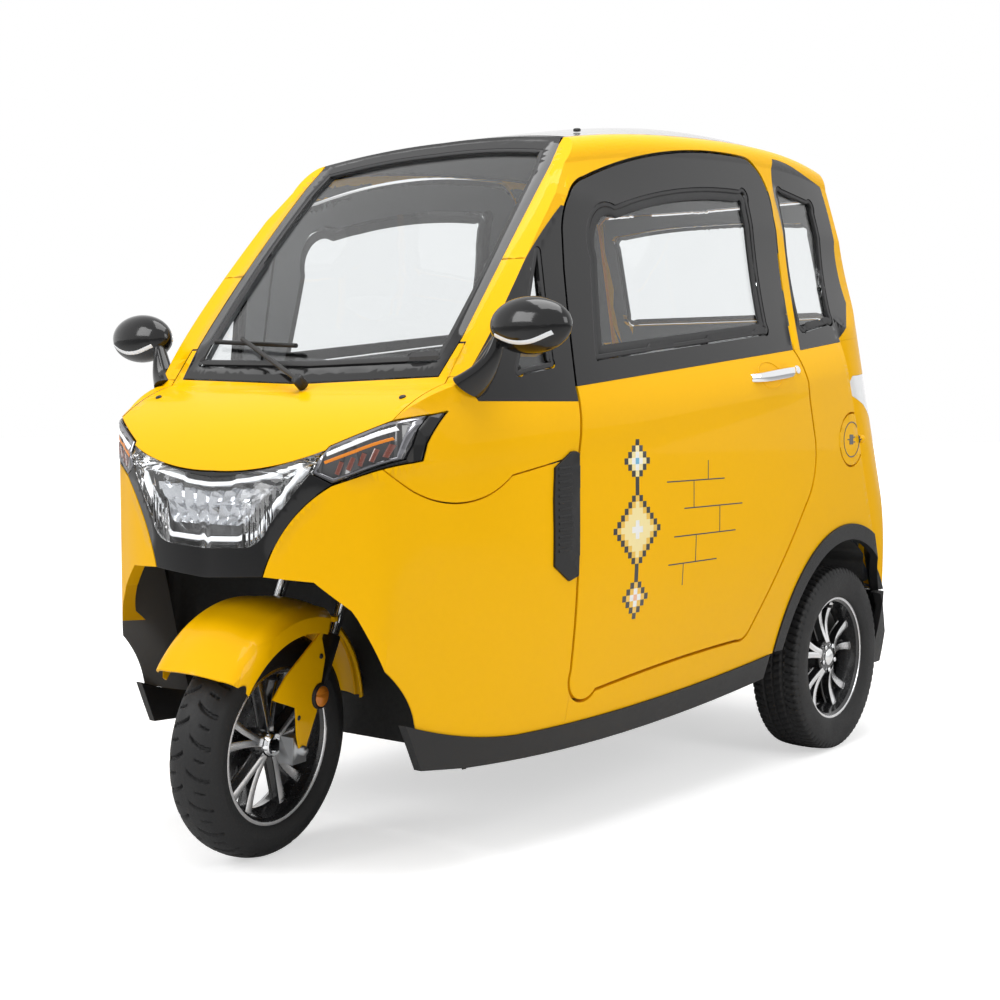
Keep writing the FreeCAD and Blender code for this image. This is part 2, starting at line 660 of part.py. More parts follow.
arch_front = run_front(both_halves(ARCH_HALF), -1300, -500)
shield_hole = run_front(both_halves(SHIELD_HALF), -900, -150, GAP / 2)
vent_hole = run_side(VENT, SPLIT, inner=WINDOW_INNER - SPLIT)
quarter_hole = run_side(QUARTER, SPLIT, inner=WINDOW_INNER - SPLIT)
cover_hole = run_side(HINGE_COVER, SPLIT, inner=400)
skirt_hole = run_side(SKIRT_ZONE)
bumper_prism = Part.makeBox(REACH, 400, 202, Vector(0, 1012, 195)).fuse(Part.makeBox(PLATE_HALF, 400, 240, Vector(0, 900, 395)))
bumper_hole = Part.makeBox(PLATE_HALF + GAP, 400, 240 + GAP, Vector(0, 900, 395))
roof_hole = run_plan(both_halves(ROOF_HALF), 1380, 1800, GAP / 2)
above_brow = run_front(both_halves(BROW_HALF), -1300, -650, GAP / 2)
bonnet_prism = run_plan(both_halves(BONNET_HALF), 700, 1100, -GAP / 2).common(above_brow)
bonnet_hole = run_plan(both_halves(BONNET_HALF), 700, 1100, GAP / 2).common(above_brow)
above_belt = run_side(ABOVE_BELT, inner=0)
above_belt_gap = run_side([(a, b + SPLIT) for a, b in ABOVE_BELT], inner=0)


def cut_all(shape, *tools):
    """A shape less each of several tools in turn, which stay as they were."""
    for tool in tools:
        shape = shape.copy().cut(tool.copy())
    return shape


def pin_in_gap(centre, gap, length, fixed, along):
    """A hinge pin that fills a gap but for its running clearance, and bites into its fixed side."""
    clear, bite = SPLIT, 0.1
    radius = (gap - clear + bite) / 2
    at = centre + fixed * (gap / 2 + bite - radius) - along * (length / 2)
    return Part.makeCylinder(radius, length, at, along)


def make_doors():
    opening = run_side(DOOR_WINDOW)
    pane_outline = run_side(DOOR_WINDOW, -num("glass_gap"))
    leaf = SHELL.copy().common(run_side(DOOR, -DOOR_HALF))
    lower = solids(leaf.copy().cut(above_belt.copy()))
    frame = solids(leaf.copy().common(above_belt_gap.copy()).cut(opening))
    glass = solids(PANE.copy().common(pane_outline))
    rise = math.degrees(math.atan(num("belt_rise")))
    handle = Part.makeBox(17, 214, 26, Vector(0, -107, -13))
    handle = handle.fuse(Part.makeBox(24, 26, 20, Vector(-14, -96, -10))).fuse(Part.makeBox(24, 26, 20, Vector(-14, 70, -10)))
    handle.rotate(Vector(), Vector(1, 0, 0), rise)
    handle.translate(Vector(523, 342, 1000))
    handle = solids(handle.cut(OUTER.copy()))
    for side, turn in (("left", lambda s: s), ("right", mirrored)):
        feature(f"door_{side}_panel", turn(lower))
        feature(f"door_{side}_frame", turn(frame))
        feature(f"door_{side}_glass", turn(glass))
        feature(f"door_{side}_handle", turn(handle))


def make_side_windows():
    glass_gap = num("glass_gap")
    frames = []
    panes = []
    for frame, window in ((VENT, VENT_WINDOW), (QUARTER, QUARTER_WINDOW)):
        region = SHELL.copy().common(run_side(frame, inner=WINDOW_INNER))
        frames.append(solids(cut_all(region, shield_hole, bonnet_hole, roof_hole, door_hole, run_side(window))))
        panes.append(solids(cut_all(PANE.copy().common(run_side(window, -glass_gap, inner=WINDOW_INNER)), shield_hole)))
    feature("side_window_frames", pair(Part.makeCompound(frames)))
    feature("side_window_glass", pair(Part.makeCompound(panes)))


def make_windshield():
    region = run_front(both_halves(SHIELD_HALF), -900, -150, -GAP / 2)
    opening = run_front(both_halves(SHIELD_GLASS_HALF), -900, -150)
    pane = run_front(both_halves(SHIELD_GLASS_HALF), -900, -150, -num("glass_gap"))
    feature("windshield_frame", whole(SHELL.copy().common(region).cut(opening)))
    feature("windshield_glass", whole(PANE.copy().common(pane)))


def make_upper_body():
    upper = cut_all(SHELL, vent_hole).common(above_belt.copy())
    roof_prism = run_plan(both_halves(ROOF_HALF), 1380, 1800, -GAP / 2)
    feature("roof_panel", whole(cut_all(upper.copy().common(roof_prism), shield_hole, gate_hole)))
    nose = Part.makeBox(REACH, COWL_Y + 1300 + SPLIT, 400, Vector(0, -1300, 600))
    rails = cut_all(upper, shield_hole, roof_hole, gate_hole, nose, bonnet_hole, door_hole, quarter_hole, lamp_hole)
    rails = rails.fuse(pin_in_gap(GATE_PIN, num("gate_gap"), 60, Vector(0, 0, 1), Vector(1, 0, 0)))
    feature("roof_rails", whole(solids(rails)))


def make_front_body():
    front = SHELL.copy().common(Part.makeBox(REACH, 900, 990, Vector(0, -1300, 0)))
    cowl = above_belt.copy().common(Part.makeBox(REACH, 400, 800, Vector(0, COWL_Y, 500)))
    front = cut_all(front, cowl, shield_hole, arch_front)
    head_prism = run_front(both_halves(HEADLAMP_HALF), -1300, -700, -num("glass_gap"))
    head_hole = run_front(both_halves(HEADLAMP_HALF), -1300, -700)
    feature("front_fascia", whole(solids(cut_all(front.copy().common(face_prism.copy()), head_hole, signal_hole), 2000)))
    lens = OUTER.copy().cut(body_form(GLASS_FROM).copy()).common(head_prism.copy())
    feature("headlamp_lens", whole(lens))
    unit = whole(body_form(GLASS_TO).copy().cut(INNER.copy()).common(head_prism.copy()))
    signal = solids(SHELL.copy().common(signal_prism))
    feature("front_lamps", Part.makeCompound([unit, signal, mirrored(signal)]))
    painted = cut_all(front, face_hole, signal_hole)
    feature("bonnet", whole(cut_all(SHELL.copy().common(bonnet_prism.copy()), shield_hole, face_hole, signal_hole, head_hole)))
    behind = Part.makeBox(REACH, 200, SILL_TOP, Vector(0, SILL_SPLIT, 0))
    sides = cut_all(painted, bonnet_hole, door_hole, seam_band(FRONT_SEAM, GAP), skirt_hole, vent_hole, cover_hole, behind)
    feature("front_side_panels", pair(solids(sides)))


def make_rear_body():
    ahead = Part.makeBox(REACH, 1400, 1500, Vector(0, SILL_SPLIT + SPLIT - 1400, 0))
    ahead = ahead.fuse(Part.makeBox(REACH, 1400, 1500 - SILL_TOP, Vector(0, -380 - 1400, SILL_TOP)))
    under_tail = Part.makeBox(REACH, 500, 300, Vector(0, 880, 100))
    rear = cut_all(SHELL, above_belt, gate_hole, ahead, door_hole, trim_hole, lamp_hole, skirt_hole, under_tail, bumper_hole, quarter_hole)
    flap_axis = Vector(300, REAR_AXLE_Y, num("flap_height"))
    hole = Part.makeCylinder(num("flap_radius + flap_gap"), REACH - 300, flap_axis, Vector(1, 0, 0)).cut(body_form(GLASS_TO).copy())
    disc = Part.makeCylinder(num("flap_radius"), REACH - 300, flap_axis, Vector(1, 0, 0))
    flap = solids(OUTER.copy().cut(body_form(GLASS_FROM).copy()).common(disc))
    knob = Part.makeSphere(11, Vector(527, REAR_AXLE_Y + num("flap_radius") - 12, num("flap_height"))).cut(OUTER.copy())
    quarter = solids(rear.copy().cut(hole))
    pin = pin_in_gap(FLAP_PIN, num("flap_gap"), 40, Vector(0, -1, 0), Vector(0, 0, 1))
    right = mirrored(solids(rear))
    feature("rear_quarters", Part.makeCompound([quarter.fuse(pin), right]))
    feature("charge_flap", flap.fuse(solids(knob, 50)))


def make_gate():
    opening = run_front(both_halves(BACK_GLASS_HALF), 650, 1300)
    pane = run_front(both_halves(BACK_GLASS_HALF), 650, 1300, -num("glass_gap"))
    feature("tailgate_panel", whole(SHELL.copy().common(gate_prism).cut(opening)))
    feature("tailgate_glass", whole(PANE.copy().common(pane)))


def make_trims():
    ring = Part.makeCylinder(ARCH_RADIUS + TRIM_WIDTH - SPLIT, 400, ARCH_CENTRE + Vector(300, 0, 0), Vector(1, 0, 0))
    low = run_side([(-800, 0), (-800, 309), (600, 309), (600, 0)])
    tail = Part.makeBox(REACH, 300, 403, Vector(0, 960, 0))
    feature("wheel_arch_trims", pair(solids(cut_all(TRIM.copy().common(ring), arch_hole, low, tail))))
    feature("side_skirts", pair(solids(TRIM.copy().common(run_side(SKIRT)))))
    hole = Part.makeCylinder(num("plate_hole_radius"), 300, Vector(num("plate_hole_spacing/2"), 1000, 560), Vector(0, 1, 0))
    feature("rear_bumper", whole(TRIM.copy().common(bumper_prism.copy()).cut(hole)))
    feature("tail_lamps", pair(solids(SHELL.copy().common(lamp_prism).cut(gate_hole.copy()))))
    cover = solids(TRIM.copy().common(run_side(HINGE_COVER, inner=400)).cut(door_hole.copy()))
    for height in (640, 780):
        cover = cover.fuse(pin_in_gap(DOOR_PIN + Vector(0, 0, height), num("door_gap"), 46, Vector(0, -1, 0), Vector(0, 0, 1)))
    feature("hinge_covers", pair(solids(cover)))


def make_liners():
    wall = num("liner_wall")
    outline = [
        (0, -584), (240, -584), (360, -640, 396, -842), (396 - wall, -842), (360 - wall, -640 - wall, 240, -584 - wall), (0, -584 - wall),
    ]
    front = Part.Face(wire(outline, plan_place)).extrude(Vector(0, 0, 372))
    front.translate(Vector(0, 0, 200))
    lid = Part.Face(wire([(0, -842), (396, -842), (360, -640, 240, -584), (0, -584)], plan_place)).extrude(Vector(0, 0, wall))
    lid.translate(Vector(0, 0, 572))
    lid = lid.cut(Part.makeCylinder(150, 40, Vector(0, axis_y(574) - 22, 560), Vector(0, 0, 1)))
    front = whole(front.fuse(lid).common(LINING.copy()))
    radius = ARCH_RADIUS + num("liner_gap")
    tub = Part.makeCylinder(radius + wall, 480 - TUB_INNER, ARCH_CENTRE + Vector(TUB_INNER, 0, 0), Vector(1, 0, 0))
    tub = tub.cut(Part.makeCylinder(radius, 480, ARCH_CENTRE + Vector(TUB_INNER + wall, 0, 0), Vector(1, 0, 0)))
    tub = tub.cut(Part.makeCylinder(num("drum_radius") + 12, 60, Vector(TUB_INNER - 20, REAR_AXLE_Y, REAR_AXLE_Z), Vector(1, 0, 0)))
    tub = solids(tub.cut(Part.makeBox(REACH, 1000, 290, Vector(0, 300, 0))).common(LINING.copy()))
    feature("wheel_well_liners", Part.makeCompound([front, tub, mirrored(tub)]))


POST_Y = -545
POST_RADIUS = "rail_width/2 - 4"


def make_chassis():
    rails = []
    for sign, name in ((1, "Left"), (-1, "Right")):
        corner_x = "rail_half_spacing - rail_width/2" if sign > 0 else "-rail_half_spacing - rail_width/2"
        rails.append(box(f"Rail{name}", ("rail_width", "1000", "rail_height"), (corner_x, "-560", "rail_bottom")))
        kick = "rail_half_spacing - rail_width/2" if sign > 0 else "-rail_half_spacing - rail_width/2"
        rails.append(box(f"KickUp{name}", ("rail_width", "rail_height", "260"), (kick, "400", "rail_bottom + 10")))
        rails.append(box(f"RearRail{name}", ("rail_width", "660", "rail_height"), (kick, "400", "rail_bottom + 230")))
    for i, y in enumerate((-560, -100, 400)):
        rails.append(box(f"Cross{i}", ("2*rail_half_spacing", "rail_width", "rail_height"), ("-rail_half_spacing", str(y), "rail_bottom")))
    for i, y in enumerate((560, 1020)):
        rails.append(box(f"RearCross{i}", ("2*rail_half_spacing", "rail_width", "rail_height"), ("-rail_half_spacing", str(y), "rail_bottom + 230")))
    foot = num("head_tube_bottom")
    head = num("head_tube_top")
    low = Vector(0, axis_y(foot), foot)
    high = Vector(0, axis_y(head), head)
    tube = rod("HeadTube", low, high, "head_tube_radius")
    bore = rod("HeadBore", low - STEER_AXIS * 20, high + STEER_AXIS * 20, "column_radius + bearing_gap")
    stays = []
    for x in (-70, 70):
        side = "A" if x < 0 else "B"
        stays.append(rod(f"Post{side}", Vector(x, POST_Y, 262), Vector(x, POST_Y, head - 70), POST_RADIUS))
        stays.append(rod(f"Brace{side}", Vector(x, POST_Y, head - 84), Vector(x * 0.2, axis_y(head - 40) + 10, head - 40), POST_RADIUS))
    frame = doc.addObject("Part::MultiFuse", "FrameTubes")
    frame.Shapes = rails + stays + [tube]
    node = doc.addObject("Part::Cut", "chassis_frame")
    node.Base = frame
    node.Tool = bore
    node.Label = "chassis_frame"
    NODES.append(node)


def make_floor():
    """The deck, the step up under the bench and the deck above the axle, with holes for what passes."""
    thick = num("floor_thickness")
    low = num("rail_bottom + rail_height") + SPLIT
    high = num("rail_bottom + 230 + rail_height") + SPLIT
    half_width = TUB_INNER - SPLIT
    deck = Part.makeBox(2 * 425, 1000, thick, Vector(-425, -560, low))
    rear = Part.makeBox(2 * half_width, 620, thick, Vector(-half_width, 444, high))
    riser = Part.makeBox(2 * half_width, thick, high - low + thick, Vector(-half_width, 444 - thick, low))
    pan = deck.fuse(rear).fuse(riser)
    for sign in (1, -1):
        rail_x = sign * num("rail_half_spacing") - num("rail_width") / 2
        pan = pan.cut(Part.makeBox(num("rail_width") + 4, 60, 300, Vector(rail_x - 2, 396, 240)))
        pan = pan.cut(Part.makeCylinder(num(POST_RADIUS) + 2, 60, Vector(sign * 70, POST_Y, 260), Vector(0, 0, 1)))
        well = Part.makeCylinder(ARCH_RADIUS + num("liner_gap + liner_wall") + SPLIT, 160, ARCH_CENTRE + Vector(half_width, 0, 0), Vector(1, 0, 0))
        pan = pan.cut(well if sign > 0 else mirrored(well))
    feature("floor_pan", whole(pan.common(LINING.copy())))


def spring(foot, top):
    """A damper in its coil spring, drawn as rings on a sleeve, between two seats."""
    length = (top - foot).Length
    coil = num("damper_radius")
    seat, core, turns = 5, coil - 12, 6
    pitch = (length - 2 * seat) / (2 * turns + 1)
    steps = [(0, 0), (coil + 2, 0), (coil + 2, seat), (core, seat)]
    for k in range(turns):
        low = seat + (2 * k + 1) * pitch
        steps += [(core, low), (coil, low), (coil, low + pitch), (core, low + pitch)]
    steps += [(core, length - seat), (coil + 2, length - seat), (coil + 2, length), (0, length)]
    turned = Part.Face(wire(steps, front_place)).revolve(Vector(), Vector(0, 0, 1), 360)
    turned.Placement = Placement(foot, Rotation(Vector(0, 0, 1), top - foot))
    return turned


def make_rear_axle():
    y, z = REAR_AXLE_Y, REAR_AXLE_Z
    inner = num("rear_track/2") - 92
    pieces = [Part.makeCylinder(num("axle_tube_radius"), 2 * inner, Vector(-inner, y, z), Vector(1, 0, 0))]
    pieces.append(Part.makeCylinder(num("motor_radius"), num("motor_length"), Vector(-num("motor_length") / 2, y - 20, z + 8), Vector(1, 0, 0)))
    for sign in (1, -1):
        pieces.append(Part.makeCylinder(num("drum_radius"), 40, Vector(sign * inner, y, z), Vector(sign, 0, 0)))
        pieces.append(Part.makeCylinder(num("axle_radius"), num("rear_track/2") + 36 - inner, Vector(sign * inner, y, z), Vector(sign, 0, 0)))
        arm = Part.makeBox(34, 470, 34, Vector(sign * 285 - 17, y - 470, z - 17))
        pieces.append(arm)
    feature("rear_axle", pieces[0].multiFuse(pieces[1:]))
    dampers = []
    for sign in (1, -1):
        x = sign * num("rear_track/2 - damper_inset")
        foot = Vector(x, y, z + num("axle_tube_radius") + SPLIT)
        top = Vector(x, y, num("rail_bottom + 230 + rail_height"))
        dampers.append(spring(foot, top))
    feature("rear_dampers", Part.makeCompound(dampers))


def cushion(width, depth, height, corner, soft=28):
    block = Part.makeBox(width, depth, height, corner)
    return block.makeFillet(soft, block.Edges)


def make_cabin():
    seat_top = num("seat_height")
    thick = num("cushion_thickness")
    width, depth = num("seat_width"), num("seat_depth")
    rear = num("driver_seat_rear")
    base = num("rail_bottom + rail_height + floor_thickness") + 0.6
    box_top = seat_top - thick - 0.3
    plinth = Part.makeBox(width - 30, depth - 40, box_top - base, Vector(-width / 2 + 15, rear - depth + 20, base))
    hollow = Part.makeBox(width - 46, depth - 56, box_top - base - 8, Vector(-width / 2 + 23, rear - depth + 28, base))
    back_plate = Part.makeBox(width - 60, 10, 420, Vector(-width / 2 + 30, rear + 46, box_top - 60))
    brace = Part.makeBox(width - 120, 72, 10, Vector(-width / 2 + 60, rear - 24, box_top - 60))
    feature("seat_plinth", plinth.cut(hollow).fuse(brace).fuse(back_plate))
    seat = cushion(width, depth, thick, Vector(-width / 2, rear - depth, seat_top - thick))
    back = cushion(width, 84, 350, Vector(-width / 2, rear - 38.6, seat_top + 2))
    feature("driver_seat", Part.makeCompound([seat, back]))
    bench_w = num("bench_width")
    bench_rear = num("bench_rear")
    shelf = num("rail_bottom + 230 + rail_height + floor_thickness") + 0.6
    bench = cushion(bench_w - 40, 380, seat_top + 10 - shelf, Vector(-bench_w / 2 + 20, bench_rear - 420, shelf), 24)
    rest = cushion(bench_w - 20, 80, 330, Vector(-bench_w / 2 + 10, bench_rear - 39.6, seat_top - 40), 24)
    feature("rear_bench", Part.makeCompound([bench, rest]))
    block = Part.makeBox(num("battery_width") - 20, num("seat_depth") - 70, num("battery_height"), Vector(-num("battery_width") / 2 + 10, rear - depth + 35, base))
    feature("battery_block", block)


def make_dashboard():
    outline = [(-752, 930), (-742, 948), (-640, 946), (-600, 938, -590, 905), (-602, 760), (-640, 690), (-652, 690), (-618, 764), (-606, 903), (-610, 922, -645, 930)]
    shelf = run_side(outline, inner=0, outer=430)
    trimmed = whole(shelf.common(LINING.copy()))
    binnacle = Part.makeBox(260, 60, 44, Vector(-130, -668, 946))
    slot = Part.makeBox(96, 200, 230, Vector(-48, axis_y(720) - 90, 620))
    feature("dashboard", solids(trimmed.fuse(binnacle).cut(slot)))


def make_mirrors():
    head = Part.makeSphere(60)
    matrix = FreeCAD.Matrix()
    matrix.scale(1.55, 0.72, 0.92)
    head = head.transformGeometry(matrix)
    head = head.cut(Part.makeBox(260, 100, 200, Vector(-130, 22, -100)))
    head.translate(Vector(566, -707, 1080))
    foot = Vector(436, -735, 962)
    elbow = Vector(492, -716, 1052)
    arm = Part.makeCone(17, 13, (elbow - foot).Length, foot, elbow - foot)
    left = head.fuse(arm).fuse(Part.makeSphere(13, elbow))
    left = solids(left.cut(OUTER.copy()))
    feature("side_mirrors", pair(left))
    glass = Part.makeCylinder(46, 3, Vector(0, 0, 0), Vector(0, 1, 0))
    stretch = FreeCAD.Matrix()
    stretch.scale(1.7, 1, 0.98)
    glass = glass.transformGeometry(stretch)
    glass.translate(Vector(566, -707 + 22.3, 1080))
    feature("mirror_glass", pair(glass))


def make_wiper():
    foot = Vector(50, -790, 962)
    boss = Part.makeCylinder(12, 26, foot, Vector(0, -0.76, 0.65))
    tip = Vector(-235, -692, 1068)
    start = foot + Vector(0, -14, 12)
    arm = Part.makeCylinder(5, (tip - start).Length, start, tip - start)
    blade_a, blade_b = Vector(-330, -684, 1064), Vector(-60, -700, 1050)
    blade = Part.makeCylinder(5, (blade_b - blade_a).Length, blade_a, blade_b - blade_a)
    wiper = boss.fuse(arm).fuse(blade)
    wiper.translate(Vector(0, -8, 4))
    feature("windshield_wiper", solids(cut_all(wiper, OUTER, mirrored(OUTER))))


make_chassis()
make_floor()
make_rear_axle()
make_front_wheel()
make_rear_wheels()
make_fork()
make_handlebar()
make_fender()
make_doors()
make_side_windows()
make_windshield()
make_upper_body()
make_front_body()
make_rear_body()
make_gate()
make_trims()
make_liners()
make_cabin()
make_dashboard()
make_mirrors()
make_wiper()

doc.recompute()
faults = [o.Label for o in doc.Objects if {"Invalid", "Error"} & set(o.State)]
for node in NODES:
    if node.Shape.isNull() or not node.Shape.isValid():
        faults.append(node.Label)
if faults:
    raise RuntimeError("faulty: " + ", ".join(faults))
os.makedirs("parts", exist_ok=True)
for node in NODES:
    node.Shape.exportStep(f"parts/{node.Label}.step")
print(len(NODES), "nodes,", round(sum(n.Shape.Volume for n in NODES) / 1e9, 4), "cubic metres of solid")
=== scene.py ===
"""Looks of the enclosed electric tricycle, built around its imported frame."""

import json
import logging
import math
from collections.abc import Iterator
from contextlib import contextmanager
from dataclasses import dataclass, field
from enum import Enum

import bmesh
import bpy
import numpy as np
from mathutils import Matrix, Vector
from mathutils.bvhtree import BVHTree

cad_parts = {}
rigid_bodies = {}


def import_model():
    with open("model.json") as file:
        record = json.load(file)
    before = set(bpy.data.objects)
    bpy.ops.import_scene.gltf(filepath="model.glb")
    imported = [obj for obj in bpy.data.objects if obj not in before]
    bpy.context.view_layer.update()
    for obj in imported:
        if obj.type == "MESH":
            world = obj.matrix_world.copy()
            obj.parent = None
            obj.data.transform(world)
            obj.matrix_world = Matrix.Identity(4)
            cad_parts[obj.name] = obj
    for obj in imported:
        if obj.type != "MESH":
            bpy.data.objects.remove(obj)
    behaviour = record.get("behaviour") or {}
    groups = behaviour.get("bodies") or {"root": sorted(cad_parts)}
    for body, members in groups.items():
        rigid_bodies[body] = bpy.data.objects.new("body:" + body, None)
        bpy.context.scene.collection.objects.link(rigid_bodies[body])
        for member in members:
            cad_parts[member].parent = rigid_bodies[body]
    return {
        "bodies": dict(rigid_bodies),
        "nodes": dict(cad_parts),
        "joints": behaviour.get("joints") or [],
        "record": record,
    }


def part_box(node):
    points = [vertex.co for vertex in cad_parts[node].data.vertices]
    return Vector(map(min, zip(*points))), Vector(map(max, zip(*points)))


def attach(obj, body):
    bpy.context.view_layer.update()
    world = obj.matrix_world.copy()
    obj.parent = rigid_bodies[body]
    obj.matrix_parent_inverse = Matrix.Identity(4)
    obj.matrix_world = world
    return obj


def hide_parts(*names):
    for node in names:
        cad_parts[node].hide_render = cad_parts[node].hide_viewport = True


LOG = logging.getLogger("tricycle")
MM = 0.001
MERGE = 0.00002
SKIN_MERGE = 0.00003
EDGE_SAMPLES = 4
GRAIN_HEIGHT = 0.0006
SPECKLE_SCALE = 23.0
ROUGHNESS_SHARE = 1.4
Colour = tuple[float, float, float]
Flat = tuple[float, float]


class Facing(Enum):
    """The side from which a flat outline is laid on the body."""

    FRONT = "front"
    LEFT = "left"
    RIGHT = "right"
    REAR = "rear"
    TOP = "top"


@dataclass(frozen=True)
class Finish:
    """One surface finish, with its colour, gloss, grain and the record's slot."""

    name: str
    slot: str
    colour: Colour
    roughness: float
    metallic: float = 0.0
    coat: float = 0.0
    coat_roughness: float = 0.03
    transmission: float = 0.0
    ior: float = 1.5
    mottle: float = 0.04
    mottle_scale: float = 5.0
    grain: float = 0.0
    grain_scale: float = 700.0
    edge: float = 0.0
    shadow: float = 1.0
    glow: float = 0.0
    streak: float = 0.0
    specular: float = 0.5

    def material(self) -> bpy.types.Material:
        """Makes the material once and returns it.

        Returns:
            The node material of this finish.
        """
        found = bpy.data.materials.get(self.name)
        if found:
            return found
        made = bpy.data.materials.new(self.name)
        made.use_nodes = True
        tree = made.node_tree
        shader = tree.nodes["Principled BSDF"]
        for socket, value in (
            ("Metallic", self.metallic), ("IOR", self.ior), ("Specular IOR Level", self.specular),
            ("Coat Weight", self.coat), ("Coat Roughness", self.coat_roughness),
            ("Transmission Weight", self.transmission),
        ):
            shader.inputs[socket].default_value = value
        place = add_node(tree, "TexCoord")
        vary = add_group(tree, mottle_group(), {"Colour": (*self.colour, 1.0), "Roughness": self.roughness,
                                                "Amount": self.mottle, "Scale": self.mottle_scale})
        tree.links.new(place.outputs["Object"], vary.inputs["Place"])
        tree.links.new(vary.outputs["Colour"], shader.inputs["Base Color"])
        tree.links.new(vary.outputs["Roughness"], shader.inputs["Roughness"])
        normal = None
        if self.edge:
            rounded = add_node(tree, "Bevel", {"Radius": self.edge})
            rounded.samples = EDGE_SAMPLES
            normal = rounded.outputs["Normal"]
        if self.grain:
            grain = add_group(tree, grain_group(), {"Scale": self.grain_scale, "Streak": self.streak})
            tree.links.new(place.outputs["Object"], grain.inputs["Place"])
            bump = add_node(tree, "Bump", {"Strength": self.grain, "Distance": GRAIN_HEIGHT})
            tree.links.new(grain.outputs["Height"], bump.inputs["Height"])
            if normal:
                tree.links.new(normal, bump.inputs["Normal"])
            normal = bump.outputs["Normal"]
        if normal:
            tree.links.new(normal, shader.inputs["Normal"])
        if self.glow:
            tree.links.new(vary.outputs["Colour"], shader.inputs["Emission Color"])
            shader.inputs["Emission Strength"].default_value = self.glow
        if self.shadow < 1.0:
            rays = add_node(tree, "LightPath")
            thin = add_node(tree, "Math", {1: self.shadow - 1.0, 2: 1.0}, "MULTIPLY_ADD")
            tree.links.new(rays.outputs["Is Shadow Ray"], thin.inputs[0])
            tree.links.new(thin.outputs[0], shader.inputs["Alpha"])
        return made


def add_node(tree: bpy.types.NodeTree, kind: str, starts: dict | None = None,
             operation: str = "") -> bpy.types.Node:
    """A new shader node.

    Args:
        tree: The tree that gets the node.
        kind: Its kind, without the leading words ShaderNode.
        starts: Start values of its inputs, by name or place.
        operation: The operation of a math node.

    Returns:
        The node.
    """
    node = tree.nodes.new(f"ShaderNode{kind}")
    if operation:
        node.operation = operation
    for socket, value in (starts or {}).items():
        node.inputs[socket].default_value = value
    return node


def link_all(tree: bpy.types.NodeTree, *links: tuple) -> None:
    """Links outputs to inputs, each given as a pair."""
    for source, target in links:
        tree.links.new(source, target)


def add_group(tree: bpy.types.NodeTree, group: bpy.types.NodeTree, starts: dict) -> bpy.types.Node:
    """A node that uses a group, with start values for its inputs."""
    node = tree.nodes.new("ShaderNodeGroup")
    node.node_tree = group
    for socket, value in starts.items():
        node.inputs[socket].default_value = value
    return node


def new_group(name: str, inputs: dict[str, tuple], outputs: dict[str, str]) -> tuple:
    """A new shader node group with its sockets.

    Args:
        name: The group's name.
        inputs: The kind of each input, and its start value if it has one.
        outputs: The kind of each output.

    Returns:
        The group, its input node and its output node.
    """
    tree = bpy.data.node_groups.new(name, "ShaderNodeTree")
    for label, (kind, *start) in inputs.items():
        socket = tree.interface.new_socket(label, in_out="INPUT", socket_type=f"NodeSocket{kind}")
        if start:
            socket.default_value = start[0]
    for label, kind in outputs.items():
        tree.interface.new_socket(label, in_out="OUTPUT", socket_type=f"NodeSocket{kind}")
    return tree, tree.nodes.new("NodeGroupInput"), tree.nodes.new("NodeGroupOutput")


def mottle_group() -> bpy.types.NodeTree:
    """The shared group that varies a colour and a roughness softly over a surface.

    Returns:
        The shader node group.
    """
    found = bpy.data.node_groups.get("soft mottle")
    if found:
        return found
    tree, enter, leave = new_group(
        "soft mottle",
        {"Place": ("Vector",), "Colour": ("Color", (0.5, 0.5, 0.5, 1.0)), "Roughness": ("Float", 0.4),
         "Amount": ("Float", 0.05), "Scale": ("Float", 5.0)},
        {"Colour": "Color", "Roughness": "Float"},
    )
    broad = add_node(tree, "TexNoise", {"Detail": 4.0})
    fine = add_node(tree, "TexNoise", {"Detail": 2.0})
    finer = add_node(tree, "Math", {1: SPECKLE_SCALE}, "MULTIPLY")
    blend = add_node(tree, "Math", None, "ADD")
    centred = add_node(tree, "Math", {1: 1.0}, "SUBTRACT")
    share = add_node(tree, "Math", None, "MULTIPLY")
    light = add_node(tree, "Math", {1: 1.0}, "ADD")
    tint = add_node(tree, "HueSaturation")
    rough = add_node(tree, "Math", {1: ROUGHNESS_SHARE}, "MULTIPLY_ADD")
    rough.use_clamp = True
    link_all(
        tree,
        (enter.outputs["Place"], broad.inputs["Vector"]),
        (enter.outputs["Scale"], broad.inputs["Scale"]),
        (enter.outputs["Place"], fine.inputs["Vector"]),
        (enter.outputs["Scale"], finer.inputs[0]),
        (finer.outputs[0], fine.inputs["Scale"]),
        (broad.outputs["Fac"], blend.inputs[0]),
        (fine.outputs["Fac"], blend.inputs[1]),
        (blend.outputs[0], centred.inputs[0]),
        (centred.outputs[0], share.inputs[0]),
        (enter.outputs["Amount"], share.inputs[1]),
        (share.outputs[0], light.inputs[0]),
        (light.outputs[0], tint.inputs["Value"]),
        (enter.outputs["Colour"], tint.inputs["Color"]),
        (share.outputs[0], rough.inputs[0]),
        (enter.outputs["Roughness"], rough.inputs[2]),
        (tint.outputs["Color"], leave.inputs["Colour"]),
        (rough.outputs[0], leave.inputs["Roughness"]),
    )
    return tree


